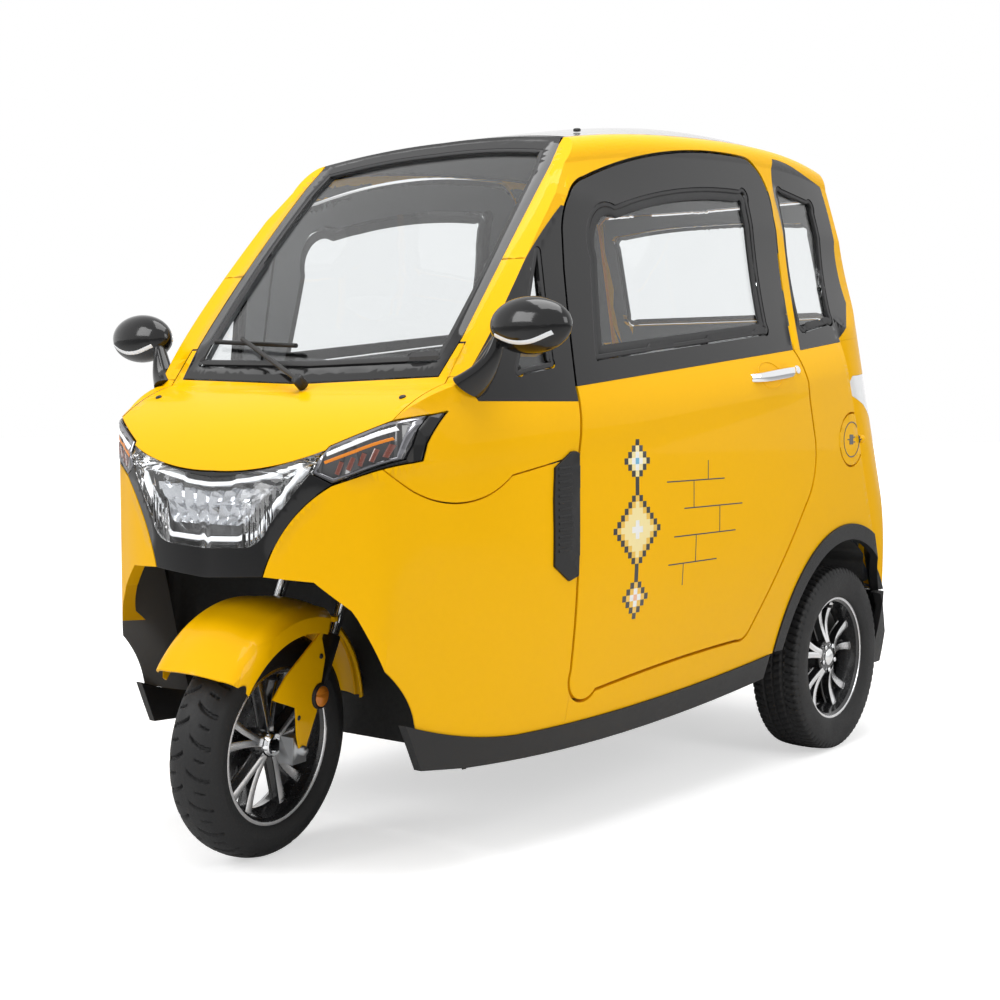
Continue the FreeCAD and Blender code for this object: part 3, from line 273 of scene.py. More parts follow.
def grain_group() -> bpy.types.NodeTree:
    """The shared group that gives the height of a moulded or leathery grain, or of a streaked metal.

    Returns:
        The shader node group.
    """
    found = bpy.data.node_groups.get("moulded grain")
    if found:
        return found
    tree, enter, leave = new_group(
        "moulded grain",
        {"Place": ("Vector",), "Scale": ("Float", 700.0), "Streak": ("Float", 0.0)},
        {"Height": "Float"},
    )
    cells = add_node(tree, "TexVoronoi")
    cells.feature = "DISTANCE_TO_EDGE"
    cloud = add_node(tree, "TexNoise", {"Detail": 3.0})
    stretch = add_node(tree, "Mapping", {"Scale": (1.0, 1.0, 0.04)})
    lines = add_node(tree, "TexNoise")
    total = add_node(tree, "Math", None, "ADD")
    pick = add_node(tree, "Mix")
    link_all(
        tree,
        (enter.outputs["Scale"], cells.inputs["Scale"]),
        (enter.outputs["Scale"], cloud.inputs["Scale"]),
        (enter.outputs["Scale"], lines.inputs["Scale"]),
        (enter.outputs["Place"], cells.inputs["Vector"]),
        (enter.outputs["Place"], cloud.inputs["Vector"]),
        (enter.outputs["Place"], stretch.inputs["Vector"]),
        (stretch.outputs[0], lines.inputs["Vector"]),
        (cells.outputs["Distance"], total.inputs[0]),
        (cloud.outputs["Fac"], total.inputs[1]),
        (enter.outputs["Streak"], pick.inputs[0]),
        (total.outputs[0], pick.inputs[2]),
        (lines.outputs["Fac"], pick.inputs[3]),
        (pick.outputs[0], leave.inputs["Height"]),
    )
    return tree


PAINT = Finish(
    "yellow paint", "body_yellow", (0.90, 0.475, 0.0005), 0.34, coat=0.20, coat_roughness=0.025,
    specular=0.04, mottle=0.03, mottle_scale=3.0, grain=0.012, grain_scale=260.0, edge=0.0025)
LINING = Finish(
    "cabin lining", "dash_black", (0.15, 0.155, 0.16), 0.75, grain=0.35, grain_scale=520.0, mottle=0.12)
GLOSS = Finish(
    "gloss black", "gloss_black", (0.004, 0.004, 0.0045), 0.16, coat=0.4, coat_roughness=0.02,
    specular=0.25, mottle=0.06, edge=0.002, grain=0.01, grain_scale=240.0)
SATIN = Finish(
    "satin black trim", "trim_black", (0.012, 0.012, 0.0125), 0.46, specular=0.35, grain=0.3,
    grain_scale=900.0, mottle=0.12, edge=0.002)
ROOF = Finish(
    "dark roof", "roof_dark", (0.010, 0.011, 0.012), 0.12, coat=0.7, coat_roughness=0.02, specular=0.3,
    mottle=0.08, edge=0.002, grain=0.015, grain_scale=180.0)
RUBBER = Finish(
    "window rubber", "gloss_black", (0.014, 0.014, 0.015), 0.55, grain=0.15, grain_scale=1200.0, mottle=0.1)
GLASS = Finish(
    "window glass", "window_glass", (0.94, 0.955, 0.96), 0.004, transmission=1.0, ior=1.45, mottle=0.02,
    shadow=0.25)
LENS = Finish(
    "clear lens", "lamp_lens", (0.97, 0.98, 0.99), 0.01, transmission=1.0, ior=1.4, mottle=0.02, shadow=0.1)
CHROME = Finish("chrome", "chrome_trim", (0.86, 0.87, 0.88), 0.07, metallic=1.0, mottle=0.04, edge=0.001)
MACHINED = Finish(
    "machined alloy", "rim_alloy", (0.80, 0.80, 0.81), 0.24, metallic=1.0, mottle=0.08, grain=0.25,
    grain_scale=900.0, streak=1.0, edge=0.001)
RIM_BLACK = Finish("black alloy", "rim_alloy", (0.012, 0.012, 0.013), 0.25, coat=0.6, mottle=0.1, edge=0.0015)
TYRE = Finish(
    "tyre rubber", "tyre_rubber", (0.012, 0.012, 0.0125), 0.6, specular=0.35, grain=0.3, grain_scale=600.0,
    mottle=0.25, mottle_scale=12.0)
LINER = Finish(
    "rough liner", "liner_black", (0.012, 0.012, 0.012), 0.8, grain=0.6, grain_scale=350.0, mottle=0.2)
FRAME_BLACK = Finish(
    "black frame paint", "frame_black", (0.014, 0.014, 0.015), 0.4, grain=0.1, grain_scale=500.0,
    mottle=0.15, edge=0.002)
STEEL = Finish(
    "steel", "damper_steel", (0.52, 0.52, 0.53), 0.3, metallic=1.0, mottle=0.12, grain=0.15,
    grain_scale=800.0, edge=0.001)
BOOT = Finish(
    "dark boot", "fork_steel", (0.022, 0.022, 0.024), 0.6, grain=0.2, grain_scale=700.0, mottle=0.15)
CAST = Finish(
    "cast alloy", "fork_steel", (0.42, 0.43, 0.44), 0.42, metallic=1.0, mottle=0.15, grain=0.5,
    grain_scale=650.0, edge=0.0015)
SEAT = Finish(
    "seat leather", "seat_black", (0.028, 0.028, 0.03), 0.5, grain=0.7, grain_scale=420.0, mottle=0.15)
DASH = Finish(
    "dash grain", "dash_black", (0.028, 0.028, 0.03), 0.6, grain=0.4, grain_scale=600.0, mottle=0.12,
    edge=0.003)
FLOOR_MAT = Finish(
    "floor mat", "floor_black", (0.02, 0.02, 0.021), 0.85, grain=0.6, grain_scale=240.0, mottle=0.2)
BATTERY = Finish("battery case", "battery_grey", (0.12, 0.12, 0.125), 0.6, grain=0.2, mottle=0.1)
MIRROR = Finish("mirror face", "mirror_face", (0.92, 0.93, 0.93), 0.015, metallic=1.0, mottle=0.01)
AMBER = Finish("amber", "amber", (0.72, 0.16, 0.01), 0.14, coat=1.0, grain=0.3, grain_scale=380.0, mottle=0.1)
GUIDE = Finish("white light guide", "lamp_inner", (0.88, 0.90, 0.92), 0.22, coat=1.0, mottle=0.04, glow=0.25)
REFLECTOR = Finish(
    "bright reflector", "lamp_inner", (0.55, 0.56, 0.58), 0.16, metallic=1.0, mottle=0.1, mottle_scale=30.0)
LAMP_DARK = Finish(
    "dark lamp housing", "lamp_inner", (0.02, 0.02, 0.022), 0.2, coat=1.0, mottle=0.1, edge=0.001)
LAMP_CHROME = Finish("dark chrome", "lamp_inner", (0.28, 0.28, 0.30), 0.12, metallic=1.0, mottle=0.08)
FIN_RED = Finish("reddish fins", "lamp_inner", (0.16, 0.035, 0.02), 0.25, coat=1.0, mottle=0.1)
TAIL_CLEAR = Finish(
    "tail lamp lens", "lamp_clear", (0.80, 0.82, 0.84), 0.08, coat=1.0, mottle=0.05, mottle_scale=20.0)
DECAL_BLACK = Finish("decal black", "body_yellow", (0.008, 0.008, 0.008), 0.3, coat=0.8)
DECAL_CREAM = Finish("decal cream", "body_yellow", (0.93, 0.78, 0.36), 0.3, coat=0.8)
DECAL_WHITE = Finish("decal white", "body_yellow", (0.86, 0.86, 0.84), 0.3, coat=0.8)
DECAL_BLUE = Finish("decal blue", "body_yellow", (0.14, 0.44, 0.66), 0.3, coat=0.8)
DECAL_PEACH = Finish("decal peach", "body_yellow", (0.86, 0.46, 0.26), 0.3, coat=0.8)
DECAL_GOLD = Finish("decal gold", "body_yellow", (0.86, 0.52, 0.05), 0.3, coat=0.8)
STUDIO_FLOOR = Finish("studio floor", "", (0.80, 0.80, 0.80), 0.7, mottle=0.0)


def rest_selection() -> None:
    """Leaves edit mode and deselects every object."""
    if bpy.context.mode != "OBJECT":
        bpy.ops.object.mode_set(mode="OBJECT")
    bpy.ops.object.select_all(action="DESELECT")


def take(piece: bpy.types.Object) -> bpy.types.Object:
    """Makes a piece the only selected and the active one."""
    rest_selection()
    piece.select_set(True)
    bpy.context.view_layer.objects.active = piece
    return piece


def settle(piece: bpy.types.Object) -> bpy.types.Object:
    """Applies a piece's place, so that its object sits at the origin."""
    take(piece)
    bpy.ops.object.transform_apply(location=True, rotation=True, scale=True)
    return piece


def apply_all(piece: bpy.types.Object) -> bpy.types.Object:
    """Applies every modifier of a piece, in order."""
    take(piece)
    for modifier in list(piece.modifiers):
        bpy.ops.object.modifier_apply(modifier=modifier.name)
    return piece


@contextmanager
def editing(piece: bpy.types.Object) -> Iterator[None]:
    """Edit mode on a piece, with all of it selected, for the length of a with block."""
    take(piece)
    bpy.ops.object.mode_set(mode="EDIT")
    bpy.ops.mesh.select_all(action="SELECT")
    yield
    bpy.ops.object.mode_set(mode="OBJECT")


def outward(piece: bpy.types.Object) -> bpy.types.Object:
    """Turns a closed piece's faces outwards, after its doubles are merged."""
    with editing(piece):
        bpy.ops.mesh.remove_doubles(threshold=MERGE)
        bpy.ops.mesh.normals_make_consistent(inside=False)
    return piece


def smooth(piece: bpy.types.Object, angle: float = 35.0) -> bpy.types.Object:
    """Shades a piece smooth, but for edges sharper than an angle in degrees."""
    take(piece)
    bpy.ops.object.shade_smooth_by_angle(angle=math.radians(angle))
    return piece


def bevelled(piece: bpy.types.Object, width: float, segments: int = 2,
             angle: float = 35.0) -> bpy.types.Object:
    """Rounds a piece's sharp edges by a width in metres."""
    modifier = piece.modifiers.new("Bevel", "BEVEL")
    modifier.width = width
    modifier.segments = segments
    modifier.angle_limit = math.radians(angle)
    modifier.limit_method = "ANGLE"
    return apply_all(piece)


def walled(piece: bpy.types.Object, thickness: float) -> bpy.types.Object:
    """Gives a sheet a thickness in metres, behind its faces."""
    modifier = piece.modifiers.new("Wall", "SOLIDIFY")
    modifier.thickness = thickness
    modifier.offset = -1.0
    return apply_all(piece)


def dress(piece: bpy.types.Object, finish: Finish, body: str = "root", *nodes: str) -> bpy.types.Object:
    """Gives a finished piece its material and body, and hides the CAD nodes that it stands for.

    Args:
        piece: The finished piece.
        finish: Its finish.
        body: The CAD body that carries it.
        nodes: CAD nodes that it replaces.

    Returns:
        The same piece.
    """
    if not piece.data.materials:
        coated(piece, finish)
    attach(piece, body)
    if nodes:
        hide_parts(*nodes)
    return piece


def placed(name: str, data: bpy.types.ID) -> bpy.types.Object:
    """A new object in the scene, for its mesh, camera or lamp."""
    made = bpy.data.objects.new(name, data)
    bpy.context.scene.collection.objects.link(made)
    return made


def from_mesh(name: str, verts: list[Vector], faces: list[tuple[int, ...]],
              edges: list[tuple[int, int]] = ()) -> bpy.types.Object:
    """A new object from points, faces and edges."""
    mesh = bpy.data.meshes.new(name)
    mesh.from_pydata([tuple(v) for v in verts], list(edges), list(faces))
    return placed(name, mesh)


def joined(name: str, pieces: list[bpy.types.Object]) -> bpy.types.Object:
    """Several pieces as one object, which keeps their materials."""
    rest_selection()
    for piece in pieces:
        piece.select_set(True)
    bpy.context.view_layer.objects.active = pieces[0]
    bpy.ops.object.join()
    made = bpy.context.view_layer.objects.active
    made.name = name
    made.data.name = name
    return made


def own_copy(piece: bpy.types.Object, name: str) -> bpy.types.Object:
    """A copy of a piece, with its own mesh."""
    twin = piece.copy()
    twin.data = piece.data.copy()
    twin.name = name
    bpy.context.scene.collection.objects.link(twin)
    return twin


def mirrored(piece: bpy.types.Object, name: str) -> bpy.types.Object:
    """A copy of a piece on the vehicle's other side, with its own mesh."""
    twin = own_copy(piece, name)
    twin.data.transform(Matrix.Scale(-1.0, 4, Vector((1, 0, 0))))
    twin.data.flip_normals()
    return twin


def coated(piece: bpy.types.Object, *finishes: Finish) -> bpy.types.Object:
    """Adds finishes to a piece's materials."""
    for finish in finishes:
        piece.data.materials.append(finish.material())
    return piece


def aimed(place: Vector, way: Vector) -> Matrix:
    """The move that turns +X along a way and takes the origin to a place."""
    return Matrix.Translation(place) @ Vector((1, 0, 0)).rotation_difference(way).to_matrix().to_4x4()


def fine_block(name: str) -> bpy.types.Object:
    """A cube of side one about the origin, cut into ten along each side."""
    rest_selection()
    bpy.ops.mesh.primitive_cube_add(size=1.0, location=(0, 0, 0))
    made = bpy.context.object
    made.name = name
    with editing(made):
        bpy.ops.mesh.subdivide(number_cuts=9)
    return made


def rod(sides: int, radius: float, length: float, edge: float, finish: Finish) -> bpy.types.Object:
    """A rod along X with rounded ends, about the origin."""
    rest_selection()
    bpy.ops.mesh.primitive_cylinder_add(
        vertices=sides, radius=radius, depth=length, location=(0, 0, 0), rotation=(0, math.pi / 2, 0))
    made = coated(settle(bpy.context.object), finish)
    return bevelled(made, edge, 2, 30.0)


def turned(name: str, profile: list[Flat], steps: int = 48, closed: bool = False) -> bpy.types.Object:
    """A body of revolution about the X axis, spun from its profile of (along X, radius) points.

    Args:
        name: The new object's name.
        profile: Points of the half section, in metres.
        steps: Facets round the axis.
        closed: Whether the section's last point joins its first.

    Returns:
        The spun object, closed and facing outwards.
    """
    points = [Vector((x, 0.0, r)) for x, r in profile]
    count = len(points)
    edges = [(i, i + 1) for i in range(count - 1)] + ([(count - 1, 0)] if closed else [])
    made = from_mesh(name, points, [], edges)
    with editing(made):
        bpy.ops.mesh.spin(steps=steps, angle=2 * math.pi, center=(0, 0, 0), axis=(1, 0, 0))
    return outward(made)


def arc_path(steps: list[tuple[float, ...]], spacing: float = 12.0, closed: bool = True) -> list[Flat]:
    """Points along an outline of straight runs and arcs, in metres.

    Args:
        steps: Corners in millimetres; a step of four numbers is an arc through its first point to its last.
        spacing: The longest run between points, in millimetres.
        closed: Whether the outline returns to its start.

    Returns:
        The points of the outline.
    """
    out: list[Flat] = []
    here = steps[0][-2:]
    runs = list(steps[1:]) + ([steps[0][-2:]] if closed else [])
    for step in runs:
        end = step[-2:]
        if len(step) == 4:
            (x1, y1), (x2, y2), (x3, y3) = here, step[:2], end
            cross = 2 * (x1 * (y2 - y3) + x2 * (y3 - y1) + x3 * (y1 - y2))
            a, b, c = x1 * x1 + y1 * y1, x2 * x2 + y2 * y2, x3 * x3 + y3 * y3
            cx = (a * (y2 - y3) + b * (y3 - y1) + c * (y1 - y2)) / cross
            cy = (a * (x3 - x2) + b * (x1 - x3) + c * (x2 - x1)) / cross
            first = math.atan2(y1 - cy, x1 - cx)
            middle = (math.atan2(y2 - cy, x2 - cx) - first) % (2 * math.pi)
            sweep = (math.atan2(y3 - cy, x3 - cx) - first) % (2 * math.pi)
            if middle > sweep:
                sweep -= 2 * math.pi
            radius = math.hypot(x1 - cx, y1 - cy)
            count = max(4, math.ceil(abs(sweep) * radius / spacing))
            for i in range(count):
                angle = first + sweep * i / count
                out.append(((cx + radius * math.cos(angle)) * MM, (cy + radius * math.sin(angle)) * MM))
        else:
            length = math.dist(here, end)
            count = max(1, math.ceil(length / spacing))
            for i in range(count):
                t = i / count
                out.append(((here[0] + (end[0] - here[0]) * t) * MM, (here[1] + (end[1] - here[1]) * t) * MM))
        here = end
    if not closed:
        out.append((here[0] * MM, here[1] * MM))
    return out


@dataclass
class Surface:
    """The CAD body's outer faces, on which outlines and strips are laid."""

    tree: BVHTree

    @classmethod
    def of(cls, frame: dict, names: list[str]) -> "Surface":
        """Collects the named nodes' faces in one search tree."""
        both = bmesh.new()
        for name in names:
            both.from_mesh(frame["nodes"][name].data)
        tree = BVHTree.FromBMesh(both)
        both.free()
        return cls(tree)

    def at(self, facing: Facing, a: float, b: float, rise: float = 0.0) -> tuple[Vector, Vector]:
        """The place and normal of the surface under a flat point.

        Args:
            facing: The side from which it is seen.
            a: x seen from the front or rear, y seen from a side, x from the top.
            b: z, or y seen from the top.
            rise: How far above the surface, in metres.

        Returns:
            The point and the surface's outward normal.
        """
        start, way = {
            Facing.FRONT: (Vector((a, -2.0, b)), Vector((0, 1, 0))),
            Facing.REAR: (Vector((a, 2.0, b)), Vector((0, -1, 0))),
            Facing.LEFT: (Vector((1.0, a, b)), Vector((-1, 0, 0))),
            Facing.RIGHT: (Vector((-1.0, a, b)), Vector((1, 0, 0))),
            Facing.TOP: (Vector((a, b, 2.5)), Vector((0, 0, -1))),
        }[facing]
        hit, normal, _, _ = self.tree.ray_cast(start, way)
        if hit is None:
            far = 0.5 if facing is Facing.LEFT else 1.0
            hit, normal, _, _ = self.tree.find_nearest(start + way * far)
        if normal.dot(way) > 0:
            normal = -normal
        return hit + normal * rise, normal

    def ribbon(self, name: str, facing: Facing, path: list[Flat], width: float, rise: float, depth: float,
               closed: bool = True, side: float = 0.0) -> bpy.types.Object:
        """A raised strip of even width that follows a path on the surface.

        Args:
            name: The new object's name.
            facing: The side from which the path is drawn.
            path: Its points, in metres.
            width: The strip's width.
            rise: How far its top stands above the surface.
            depth: The strip's thickness downwards from there.
            closed: Whether the path returns to its start.
            side: How far the strip's middle is moved to the path's left.

        Returns:
            The strip, closed and facing outwards.
        """
        count = len(path)
        verts: list[Vector] = []
        for i, (a, b) in enumerate(path):
            before = path[i - 1] if closed or i else path[i]
            after = path[(i + 1) % count] if closed or i < count - 1 else path[i]
            run = Vector((after[0] - before[0], after[1] - before[1])).normalized()
            across = Vector((-run.y, run.x))
            for share in (0.5, 0.3, -0.3, -0.5):
                offset = across * (side + width * share)
                drop = 0.0 if abs(share) < 0.4 else min(0.35 * depth, 0.0015)
                point, normal = self.at(facing, a + offset.x, b + offset.y)
                verts.append(point + normal * (rise - drop))
        tops = len(verts)
        for i, (a, b) in enumerate(path):
            for k, share in enumerate((0.5, -0.5)):
                source = verts[i * 4 + (0 if k == 0 else 3)]
                _, normal = self.at(facing, a, b)
                verts.append(source - normal * depth)
        faces: list[tuple[int, ...]] = []
        for i in range(count if closed else count - 1):
            j = (i + 1) % count
            for k in range(3):
                faces.append((i * 4 + k, i * 4 + k + 1, j * 4 + k + 1, j * 4 + k))
            low, high = tops + 2 * i, tops + 2 * j
            faces.append((low, i * 4, j * 4, high))
            faces.append((i * 4 + 3, low + 1, high + 1, j * 4 + 3))
            faces.append((low + 1, low, high, high + 1))
        if not closed:
            for i in (0, count - 1):
                faces.append((i * 4, i * 4 + 1, i * 4 + 2, i * 4 + 3, tops + 2 * i + 1, tops + 2 * i))
        made = from_mesh(name, verts, faces)
        outward(made)
        return smooth(made, 30.0)

    def patch(self, name: str, facing: Facing, outline: list[Flat], rise: float, depth: float,
            cuts: int = 2) -> bpy.types.Object:
        """A plate with a closed outline that lies on the surface.

        Args:
            name: The new object's name.
            facing: The side from which the outline is drawn.
            outline: Its corners, in metres.
            rise: How far its top stands above the surface.
            depth: Its thickness.
            cuts: How often its faces are subdivided before they are laid down.

        Returns:
            The plate, closed and facing outwards.
        """
        form = bmesh.new()
        corners = [form.verts.new((a, b, 0.0)) for a, b in outline]
        bmesh.ops.contextual_create(form, geom=corners)
        bmesh.ops.triangulate(form, faces=form.faces[:])
        if cuts:
            bmesh.ops.subdivide_edges(form, edges=form.edges[:], cuts=cuts, use_grid_fill=True)
        for vert in form.verts:
            point, _ = self.at(facing, vert.co.x, vert.co.y, rise)
            vert.co = point
        form.normal_update()
        mesh = bpy.data.meshes.new(name)
        form.to_mesh(mesh)
        form.free()
        made = placed(name, mesh)
        facing_out = sum((p.normal for p in mesh.polygons), Vector())
        outside = {
            Facing.FRONT: Vector((0, -1, 0)), Facing.REAR: Vector((0, 1, 0)), Facing.LEFT: Vector((1, 0, 0)),
            Facing.RIGHT: Vector((-1, 0, 0)), Facing.TOP: Vector((0, 0, 1)),
        }[facing]
        if facing_out.dot(outside) < 0:
            mesh.flip_normals()
        return smooth(walled(made, depth), 30.0)


class Layer(Enum):
    """What a panel's face is: its outer or inner side, or the edge between them."""

    EDGE = 0
    OUTER = 1
    INNER = 2


def vectors(items: bpy.types.bpy_prop_collection, name: str) -> np.ndarray:
    """A three-number property of many mesh items, one row each."""
    out = np.zeros(len(items) * 3, np.float32)
    items.foreach_get(name, out)
    return out.reshape(-1, 3)


def numbers(items: bpy.types.bpy_prop_collection, name: str) -> np.ndarray:
    """A one-number property of many mesh items."""
    out = np.zeros(len(items), np.int32 if name.endswith("index") else np.float32)
    items.foreach_get(name, out)
    return out


class NormalField:
    """The body's smoothed normals, summed from the faces within reach of a place."""

    def __init__(self, spots: np.ndarray, pulls: np.ndarray, reach: float) -> None:
        """Sorts the faces into cells as wide as the reach."""
        self.spots, self.pulls, self.reach = spots, pulls, reach
        self.cells: dict[tuple[int, ...], list[int]] = {}
        for i, cell in enumerate(np.floor(spots / reach).astype(int).tolist()):
            self.cells.setdefault(tuple(cell), []).append(i)

    def at(self, places: np.ndarray, facing: np.ndarray) -> np.ndarray:
        """The smoothed normals at places whose own faces look along facing.

        Args:
            places: One row for each corner.
            facing: The flat normal of each corner's face.

        Returns:
            One unit normal for each corner.
        """
        out = facing.copy()
        groups: dict[tuple[int, ...], list[int]] = {}
        for i, cell in enumerate(np.floor(places / self.reach).astype(int).tolist()):
            groups.setdefault(tuple(cell), []).append(i)
        steps = [(a, b, c) for a in (-1, 0, 1) for b in (-1, 0, 1) for c in (-1, 0, 1)]
        for (a, b, c), rows in groups.items():
            near: list[int] = []
            for da, db, dc in steps:
                near.extend(self.cells.get((a + da, b + db, c + dc), ()))
            if not near:
                continue
            spots, pulls = self.spots[near], self.pulls[near]
            here, look = places[rows], facing[rows]
            away = ((here[:, None, :] - spots[None, :, :]) ** 2).sum(2) / self.reach**2
            weight = np.clip(1.0 - away, 0.0, 1.0) ** 2
            weight *= (look @ pulls.T) > 0
            total = weight @ pulls + look * 1e-9
            out[rows] = total / np.maximum(np.linalg.norm(total, axis=1, keepdims=True), 1e-12)
        return out


@dataclass
class Skins:
    """Smooth skins of the CAD nodes, which keep the CAD's shapes."""

    frame: dict
    wall: float = 0.036
    longest: float = 0.024
    reach: float = 0.034
    start_below: float = 0.0004
    opposed: float = -0.88
    outwards: float = 0.1
    spine: Flat = (-0.55, 0.75)
    spine_height: float = 0.80

    def layers(self, mesh: bpy.types.Mesh) -> list[Layer]:
        """Tells a panel's outer, inner and edge faces apart by the wall behind each.

        Args:
            mesh: The panel's mesh, with its faces pointing outwards.

        Returns:
            One layer for each face.
        """
        form = bmesh.new()
        form.from_mesh(mesh)
        tree = BVHTree.FromBMesh(form)
        form.free()
        found: list[Layer] = []
        for face in mesh.polygons:
            centre, normal = face.center, face.normal
            hit, other, _, _ = tree.ray_cast(centre - normal * self.start_below, -normal, self.wall)
            axis = Vector((0.0, max(self.spine[0], min(self.spine[1], centre.y)), self.spine_height))
            away = normal.dot((centre - axis).normalized())
            if hit is None or normal.dot(other) > self.opposed:
                found.append(Layer.EDGE)
            elif away > self.outwards:
                found.append(Layer.OUTER)
            else:
                found.append(Layer.INNER)
        return found

    def refined(self, piece: bpy.types.Object) -> None:
        """Splits a skin's long edges, so that its shading can follow the body's curve."""
        form = bmesh.new()
        form.from_mesh(piece.data)
        for _ in range(5):
            long = [e for e in form.edges if e.calc_length() > self.longest]
            if not long:
                break
            bmesh.ops.subdivide_edges(form, edges=long, cuts=1)
            bmesh.ops.triangulate(form, faces=[f for f in form.faces if len(f.verts) > 3])
        form.to_mesh(piece.data)
        form.free()

    def shade(self, pieces: list[bpy.types.Object]) -> None:
        """Gives panels one smooth run of normals across their facets and the gaps between them.

        Args:
            pieces: The skins that share the body's form.
        """
        sorted_faces: dict[str, list[Layer]] = {}
        centres: dict[Layer, list[np.ndarray]] = {Layer.OUTER: [], Layer.INNER: []}
        pulls: dict[Layer, list[np.ndarray]] = {Layer.OUTER: [], Layer.INNER: []}
        for piece in pieces:
            self.refined(piece)
            mesh = piece.data
            layers = self.layers(mesh)
            sorted_faces[piece.name] = layers
            spots = vectors(mesh.polygons, "center")
            normals = vectors(mesh.polygons, "normal") * numbers(mesh.polygons, "area")[:, None]
            for layer in centres:
                kept = np.array([found is layer for found in layers], bool)
                centres[layer].append(spots[kept])
                pulls[layer].append(normals[kept])
        fields = {
            layer: NormalField(np.concatenate(centres[layer]), np.concatenate(pulls[layer]), self.reach)
            for layer in centres
        }
        for piece in pieces:
            mesh = piece.data
            mesh.polygons.foreach_set("use_smooth", [True] * len(mesh.polygons))
            flat = np.repeat(vectors(mesh.polygons, "normal"), 3, axis=0)
            places = vectors(mesh.vertices, "co")[numbers(mesh.loops, "vertex_index").astype(int)]
            result = flat.copy()
            for layer, found in fields.items():
                kept = np.repeat(np.array([at is layer for at in sorted_faces[piece.name]], bool), 3)
                if kept.any():
                    result[kept] = found.at(places[kept], flat[kept])
            mesh.normals_split_custom_set(result.tolist())

    def copy(self, node: str, angle: float = 32.0) -> bpy.types.Object:
        """A merged, smoothly shaded copy of a node's mesh.

        Args:
            node: The CAD node's name.
            angle: Edges sharper than this stay sharp, in degrees.

        Returns:
            The copy, which has no material yet.
        """
        made = placed(f"{node}_skin", self.frame["nodes"][node].data.copy())
        made.data.materials.clear()
        with editing(made):
            bpy.ops.mesh.remove_doubles(threshold=SKIN_MERGE)
        return smooth(made, angle)

    def plain(self, node: str, body: str, finish: Finish, angle: float = 32.0) -> bpy.types.Object:
        """A skin in one finish, in place of its node."""
        return dress(self.copy(node, angle), finish, body, node)

    def lined(self, node: str, body: str, outer: Finish, inner: Finish = LINING) -> bpy.types.Object:
        """A skin whose faces towards the cabin have a second finish, in place of its node."""
        made = self.copy(node)
        coated(made, outer, inner)
        for face, layer in zip(made.data.polygons, self.layers(made.data)):
            if layer is Layer.INNER:
                face.material_index = 1
        return dress(made, outer, body, node)


@dataclass
class Studio:
    """A pale floor, soft lamps and the photograph's camera."""

    camera_place: Vector = field(default_factory=lambda: Vector((2.398, -3.151, 0.940)))
    camera_turn: tuple[float, float, float] = (90.0 - 3.613, 0.0, 37.948)
    lens: float = 57.6

    def build(self) -> None:
        """Makes the camera, the floor, the lamps and the world."""
        data = bpy.data.cameras.new("Camera")
        data.lens = self.lens
        data.sensor_width = 36.0
        camera = placed("Camera", data)
        camera.location = self.camera_place
        camera.rotation_euler = tuple(math.radians(a) for a in self.camera_turn)
        bpy.context.scene.camera = camera
        self.floor()
        self.lamp("top lamp", (0.4, -0.5, 4.2), (0.0, 0.0, 0.6), 3.0, 125.0)
        self.lamp("front lamp", (-1.6, -4.2, 2.8), (0.0, -0.3, 0.8), 2.2, 82.0)
        self.lamp("side lamp", (4.2, -0.6, 2.6), (0.3, 0.2, 0.9), 2.0, 54.0)
        self.world()
        bpy.context.scene.view_settings.view_transform = "Standard"

    def lamp(self, name: str, place: Flat, target: Flat, size: float, power: float) -> None:
        """One soft square lamp that looks at a point."""
        data = bpy.data.lights.new(name, "AREA")
        data.size = size
        data.energy = power
        made = placed(name, data)
        made.location = place
        made.rotation_euler = (Vector(target) - Vector(place)).to_track_quat("-Z", "Y").to_euler()

    def floor(self) -> None:
        """A wide pale floor, a little brighter to the camera than the lamps make it."""
        rest_selection()
        bpy.ops.mesh.primitive_grid_add(
            x_subdivisions=8, y_subdivisions=8, size=60.0, location=(0, 0, -0.0005))
        floor = settle(bpy.context.object)
        floor.name = "studio_floor"
        material = STUDIO_FLOOR.material()
        shader = material.node_tree.nodes["Principled BSDF"]
        tree = material.node_tree
        rays = add_node(tree, "LightPath")
        seen = add_node(tree, "Math", None, "MULTIPLY")
        place = add_node(tree, "TexCoord")
        away = add_node(tree, "VectorMath", None, "LENGTH")
        fade = add_node(tree, "MapRange", {"From Min": 1.1, "From Max": 3.2, "To Min": 0.55, "To Max": 1.0})
        link_all(
            tree,
            (place.outputs["Object"], away.inputs[0]),
            (away.outputs["Value"], fade.inputs["Value"]),
            (fade.outputs["Result"], seen.inputs[1]),
            (rays.outputs["Is Camera Ray"], seen.inputs[0]),
            (seen.outputs[0], shader.inputs["Emission Strength"]),
        )
        shader.inputs["Emission Color"].default_value = (1, 1, 1, 1)
        floor.data.materials.append(material)

    def world(self) -> None:
        """A white surround for the camera and for reflections, and a softer one for light."""
        world = bpy.data.worlds.new("Surround")
        bpy.context.scene.world = world
        world.use_nodes = True
        tree = world.node_tree
        back = tree.nodes["Background"]
        back.inputs["Color"].default_value = (1, 1, 1, 1)
        rays = add_node(tree, "LightPath")
        direct = add_node(tree, "Math", None, "MAXIMUM")
        level = add_node(tree, "MapRange", {"To Min": 0.42, "To Max": 1.0})
        shiny = add_node(tree, "Math", None, "MAXIMUM")
        link_all(
            tree,
            (rays.outputs["Is Camera Ray"], direct.inputs[0]),
            (rays.outputs["Is Transmission Ray"], direct.inputs[1]),
            (direct.outputs[0], shiny.inputs[0]),
            (rays.outputs["Is Glossy Ray"], shiny.inputs[1]),
            (shiny.outputs[0], level.inputs["Value"]),
            (level.outputs["Result"], back.inputs["Strength"]),
        )


